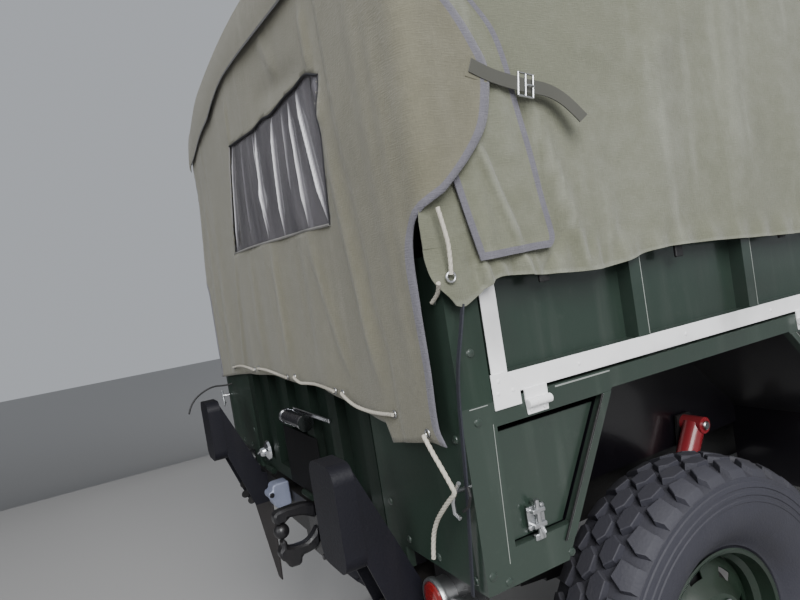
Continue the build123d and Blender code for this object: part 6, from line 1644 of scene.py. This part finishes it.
def route(points):
    """Points along the smooth line of a cord, from the few that it is led through."""
    line = bpy.data.curves.new("route", "CURVE")
    line.dimensions = "3D"
    line.resolution_u = 24
    spline = line.splines.new("NURBS")
    spline.points.add(len(points) - 1)
    for spot, point in zip(spline.points, points):
        spot.co = (*point, 1.0)
    spline.order_u = 3
    spline.use_endpoint_u = True
    holder = bpy.data.objects.new("route", line)
    bpy.context.collection.objects.link(holder)
    bpy.context.view_layer.update()
    drawn = bpy.data.meshes.new_from_object(holder)
    found = [vertex.co.copy() for vertex in drawn.vertices]
    bpy.data.objects.remove(holder)
    bpy.data.curves.remove(line)
    bpy.data.meshes.remove(drawn)
    return found


def evenly(points, pitch):
    """The same line with its points a pitch apart."""
    total = sum((b - a).length for a, b in zip(points, points[1:]))
    count = max(int(total / pitch), 2)
    spots = [points[0]]
    travelled = 0.0
    wanted = total / count
    for a, b in zip(points, points[1:]):
        run = (b - a).length
        while wanted <= travelled + run + 1e-9 and len(spots) < count:
            spots.append(a.lerp(b, (wanted - travelled) / run))
            wanted += total / count
        travelled += run
    return spots + [points[-1]], total


def three_strand(radius):
    """Section of a rope of three strands."""
    corners = []
    for step in range(18):
        angle = 2 * pi * step / 18
        reach = radius * (0.80 + 0.20 * abs(cos(1.5 * angle)) ** 0.6)
        corners.append((reach * cos(angle), reach * sin(angle)))
    return corners


def rope(name, points, diameter, material, slot, laid=True):
    """A free rope or cable led through a few points, with its real length."""
    spots, total = evenly(route(points), 0.0035 if laid else 0.006)
    section = three_strand(diameter / 2) if laid else circle(diameter / 2, 12)
    shape = swept(section, frames_along(spots, ROPE_LAY if laid else 0.0))
    made_rope = piece(name, shape, "truck", slot, material, sharp=50.0)
    return made_rope


rope_cotton = weathered("rope_cotton", ROPE_WHITE, 0.80, dirt=0.25, streaks=0.2, grain=3.0, soil=(0.22, 0.19, 0.14))
elastic_cover = weathered("elastic_cover", (0.020, 0.022, 0.032), 0.70, dirt=0.08, streaks=0.2, grain=2.5)
cable_rubber = weathered("cable_rubber", (0.012, 0.012, 0.013), 0.45, dirt=0.15, streaks=0.1, grain=0.8)
CORNER_ROUTE = [(-1.938, -0.848, 1.162), (-1.939, -0.870, 1.138), (-1.938, -0.892, 1.114), (-1.936, -0.917, 1.082),
                (-1.934, -0.921, 1.070), (-1.936, -0.905, 1.058), (-1.938, -0.880, 1.035), (-1.938, -0.846, 1.003),
                (-1.938, -0.822, 0.965), (-1.938, -0.812, 0.922)]
corner_rope = rope("corner_rope", CORNER_ROUTE, 0.009, rope_cotton, "rope_white")
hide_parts("curtain_rope")
lifts_with_gate(corner_rope)

# Lacing along the curtain's hem: short lengths that come out of one eyelet and go back through the next
HEM_LACING = (((0.641, 1.205), (0.560, 1.216), (0.440, 1.221), (0.322, 1.214)),
              ((0.266, 1.222), (0.180, 1.225), (0.060, 1.220), (-0.057, 1.214)),
              ((-0.131, 1.220), (-0.166, 1.205), (-0.240, 1.211), (-0.326, 1.214), (-0.424, 1.205)),
              ((-0.471, 1.204), (-0.514, 1.184), (-0.607, 1.177), (-0.680, 1.180), (-0.725, 1.184)))
for index, spots in enumerate(HEM_LACING):
    lacing = rope("hem_lacing_%d" % (index + 1), [(CURTAIN_PLANE - 0.0135 + far_lean(y, z), y, z) for y, z in spots], 0.0085,
                  rope_cotton, "rope_white")
    lifts_with_gate(lacing)
rope("eyelet_rope", [(-1.903, -0.956, 1.556), (-1.898, -0.958, 1.522), (-1.892, -0.957, 1.484), (-1.893, -0.951, 1.442)],
     0.008, rope_cotton, "rope_white")
rope("tie_rope", [(-1.9200, -0.950, 1.431), (-1.9120, -0.935, 1.420), (-1.9060, -0.915, 1.409), (-1.9060, -0.896, 1.398)],
     0.008, rope_cotton, "rope_white")
elastic_points, elastic_length = evenly(route([
    (-1.874, -0.9425, 1.388), (-1.892, -0.952, 1.345), (-1.9060, -0.948, 1.290), (-1.9090, -0.940, 1.240),
    (-1.9090, -0.931, 1.164), (-1.9090, -0.926, 1.117), (-1.9090, -0.917, 1.050), (-1.9090, -0.909, 1.004),
    (-1.9090, -0.898, 0.945), (-1.9090, -0.884, 0.866)]), 0.008)
elastic_shape = swept([(-0.0045, -0.0015), (0.0045, -0.0015), (0.0045, 0.0015), (-0.0045, 0.0015)], frames_along(elastic_points))
elastic_strap = piece("elastic_strap", elastic_shape, "truck", "black_rubber", elastic_cover)
rope("far_cable", [(-1.9060, 0.800, 1.124), (-1.9300, 0.805, 1.121), (-1.9800, 0.880, 1.122), (-2.0700, 0.862, 1.078),
                   (-2.0850, 0.858, 1.030)],
     0.007, cable_rubber, "black_rubber", laid=False)

# Eyelets are brass rings clenched through the canvas, and a plated double hook on the corner post takes the rope
eyelet = swept(circle(0.0022, 8), frames_along([Vector((0.0085 * cos(a), 0.0085 * sin(a), 0))
                                               for a in [2 * pi * s / 20 for s in range(21)]]))
eyelets = bmesh.new()
for y, z in ((0.641, 1.205), (0.322, 1.214), (0.266, 1.222), (-0.057, 1.214), (-0.131, 1.220), (-0.424, 1.205),
             (-0.471, 1.204), (-0.725, 1.184), (-0.848, 1.164)):
    stamp(eyelets, eyelet, at((CURTAIN_PLANE - 0.010 + far_lean(y, z), y, z), (-1, 0, 0)) @ Matrix.Scale(0.8, 4))
eyelet_ring = piece("curtain_eyelets", eyelets, "truck", "bright_aluminium", zinc)
lifts_with_gate(eyelet_ring)
side_eyelet = bmesh.new()
stamp(side_eyelet, eyelet, at((-1.893, -0.9490, 1.438), (0, -1, 0)))
side_ring = piece("side_eyelets", side_eyelet, "truck", "bright_aluminium", zinc)
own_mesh(side_ring)
eyelet.free()
# Each corner's rope passes a plated hook bent to a C, and a dark wire loop ties the elastic to it
corner_hooks = bmesh.new()
for side in (-1, 1):
    hook = bent_bar([(-1.9270, side * 0.926, 1.088), (-1.9280, side * 0.908, 1.068), (-1.9280, side * 0.899, 1.048),
                     (-1.9280, side * 0.8995, 1.028), (-1.9270, side * 0.913, 1.022)], 0.0040)
    foot = bent_bar([(-1.9280, side * 0.908, 1.068), (BODY_REAR - 0.002, side * 0.903, 1.066)], 0.0040)
    loop = bent_bar([(-1.9200, side * 0.942, 1.083), (-1.9200, side * 0.9455, 1.0675), (-1.9200, side * 0.936, 1.047),
                     (-1.9200, side * 0.915, 1.033)], 0.0026, 6)
    stamp(corner_hooks, hook, Matrix.Identity(4), finish=0)
    stamp(corner_hooks, foot, Matrix.Identity(4), finish=0)
    stamp(corner_hooks, loop, Matrix.Identity(4), finish=1)
    for part in (hook, foot, loop):
        part.free()
piece("corner_hooks", corner_hooks, "truck", "bright_aluminium", zinc, cable_rubber)

# Each tongue is held by a webbing strap: a canvas tab on the curtain, a square buckle, and a tail that curls up
STRAP_LINE = [(0.100, 0.9640, 1.791), (0.131, 0.9640, 1.777), (0.175, 0.9600, 1.767), (0.219, 0.9600, 1.758),
              (0.250, 0.9560, 1.756), (0.278, 0.9560, 1.751), (0.300, 0.9620, 1.737), (0.318, 0.9700, 1.716), (0.334, 0.9780, 1.691)]
web = woven("web", (0.060, 0.060, 0.048), (0.15, 0.15, 0.12), (0.03, 0.03, 0.03), 0.5, 2.0)
for side in (-1, 1):
    name = "right" if side < 0 else "left"
    spots, total = evenly(route([(BODY_REAR + x, side * y, z) for x, y, z in STRAP_LINE]), 0.004)
    places = []
    for before, after, spot_at in zip(spots, spots[1:] + [spots[-1]], spots):
        ahead = (after - before).normalized() if after != before else (spots[-1] - spots[-2]).normalized()
        outward = Vector((0, side, 0))
        outward = (outward - ahead * outward.dot(ahead)).normalized()
        places.append(Matrix.Translation(spot_at) @ Matrix((outward.cross(ahead), outward, ahead)).transposed().to_4x4())
    ribbon = swept([(-0.0125, -0.0012), (0.0125, -0.0012), (0.0125, 0.0012), (-0.0125, 0.0012)], places)
    ribbon.loops.layers.uv.new("flat")
    strap = piece("strap_" + name, ribbon, "truck", "canvas", web)
    buckle = bmesh.new()
    frame_bar = bent_bar([(-0.017, -0.021, 0), (0.017, -0.021, 0), (0.017, 0.021, 0), (-0.017, 0.021, 0), (-0.017, -0.021, 0)],
                         0.0024, 8)
    middle_bar = bent_bar([(0.0, -0.021, 0), (0.0, 0.021, 0)], 0.0022, 8)
    prong = bent_bar([(0.0, 0.0, 0.002), (0.010, 0.0, 0.0045), (0.018, 0.0, 0.003)], 0.0017, 6)
    on_strap = side_wall(side, 0.9620 - BODY_HALF) @ Matrix.Translation((BODY_REAR + 0.219, 1.758, 0.0)) @ \
        Matrix.Rotation(-0.17, 4, "Z")
    for part in (frame_bar, middle_bar, prong):
        stamp(buckle, part, on_strap)
        part.free()
    piece("buckle_" + name, buckle, "truck", "bright_aluminium", zinc)
    tab = plate([(-0.030, -0.020), (0.016, -0.016), (0.022, 0.0), (0.016, 0.016), (-0.030, 0.020)], 0.0022)
    tab.loops.layers.uv.new("flat")
    tab_piece = bmesh.new()
    stamp(tab_piece, tab, side_wall(side, 0.9605 - BODY_HALF) @ Matrix.Translation((BODY_REAR + 0.122, 1.781, 0)) @
          Matrix.Rotation(-0.35, 4, "Z"))
    tab.free()
    piece("strap_tab_" + name, tab_piece, "truck", "canvas", shaded_rear_duck)

for part in (coach_bolt, small_bolt, rivet):
    part.free()
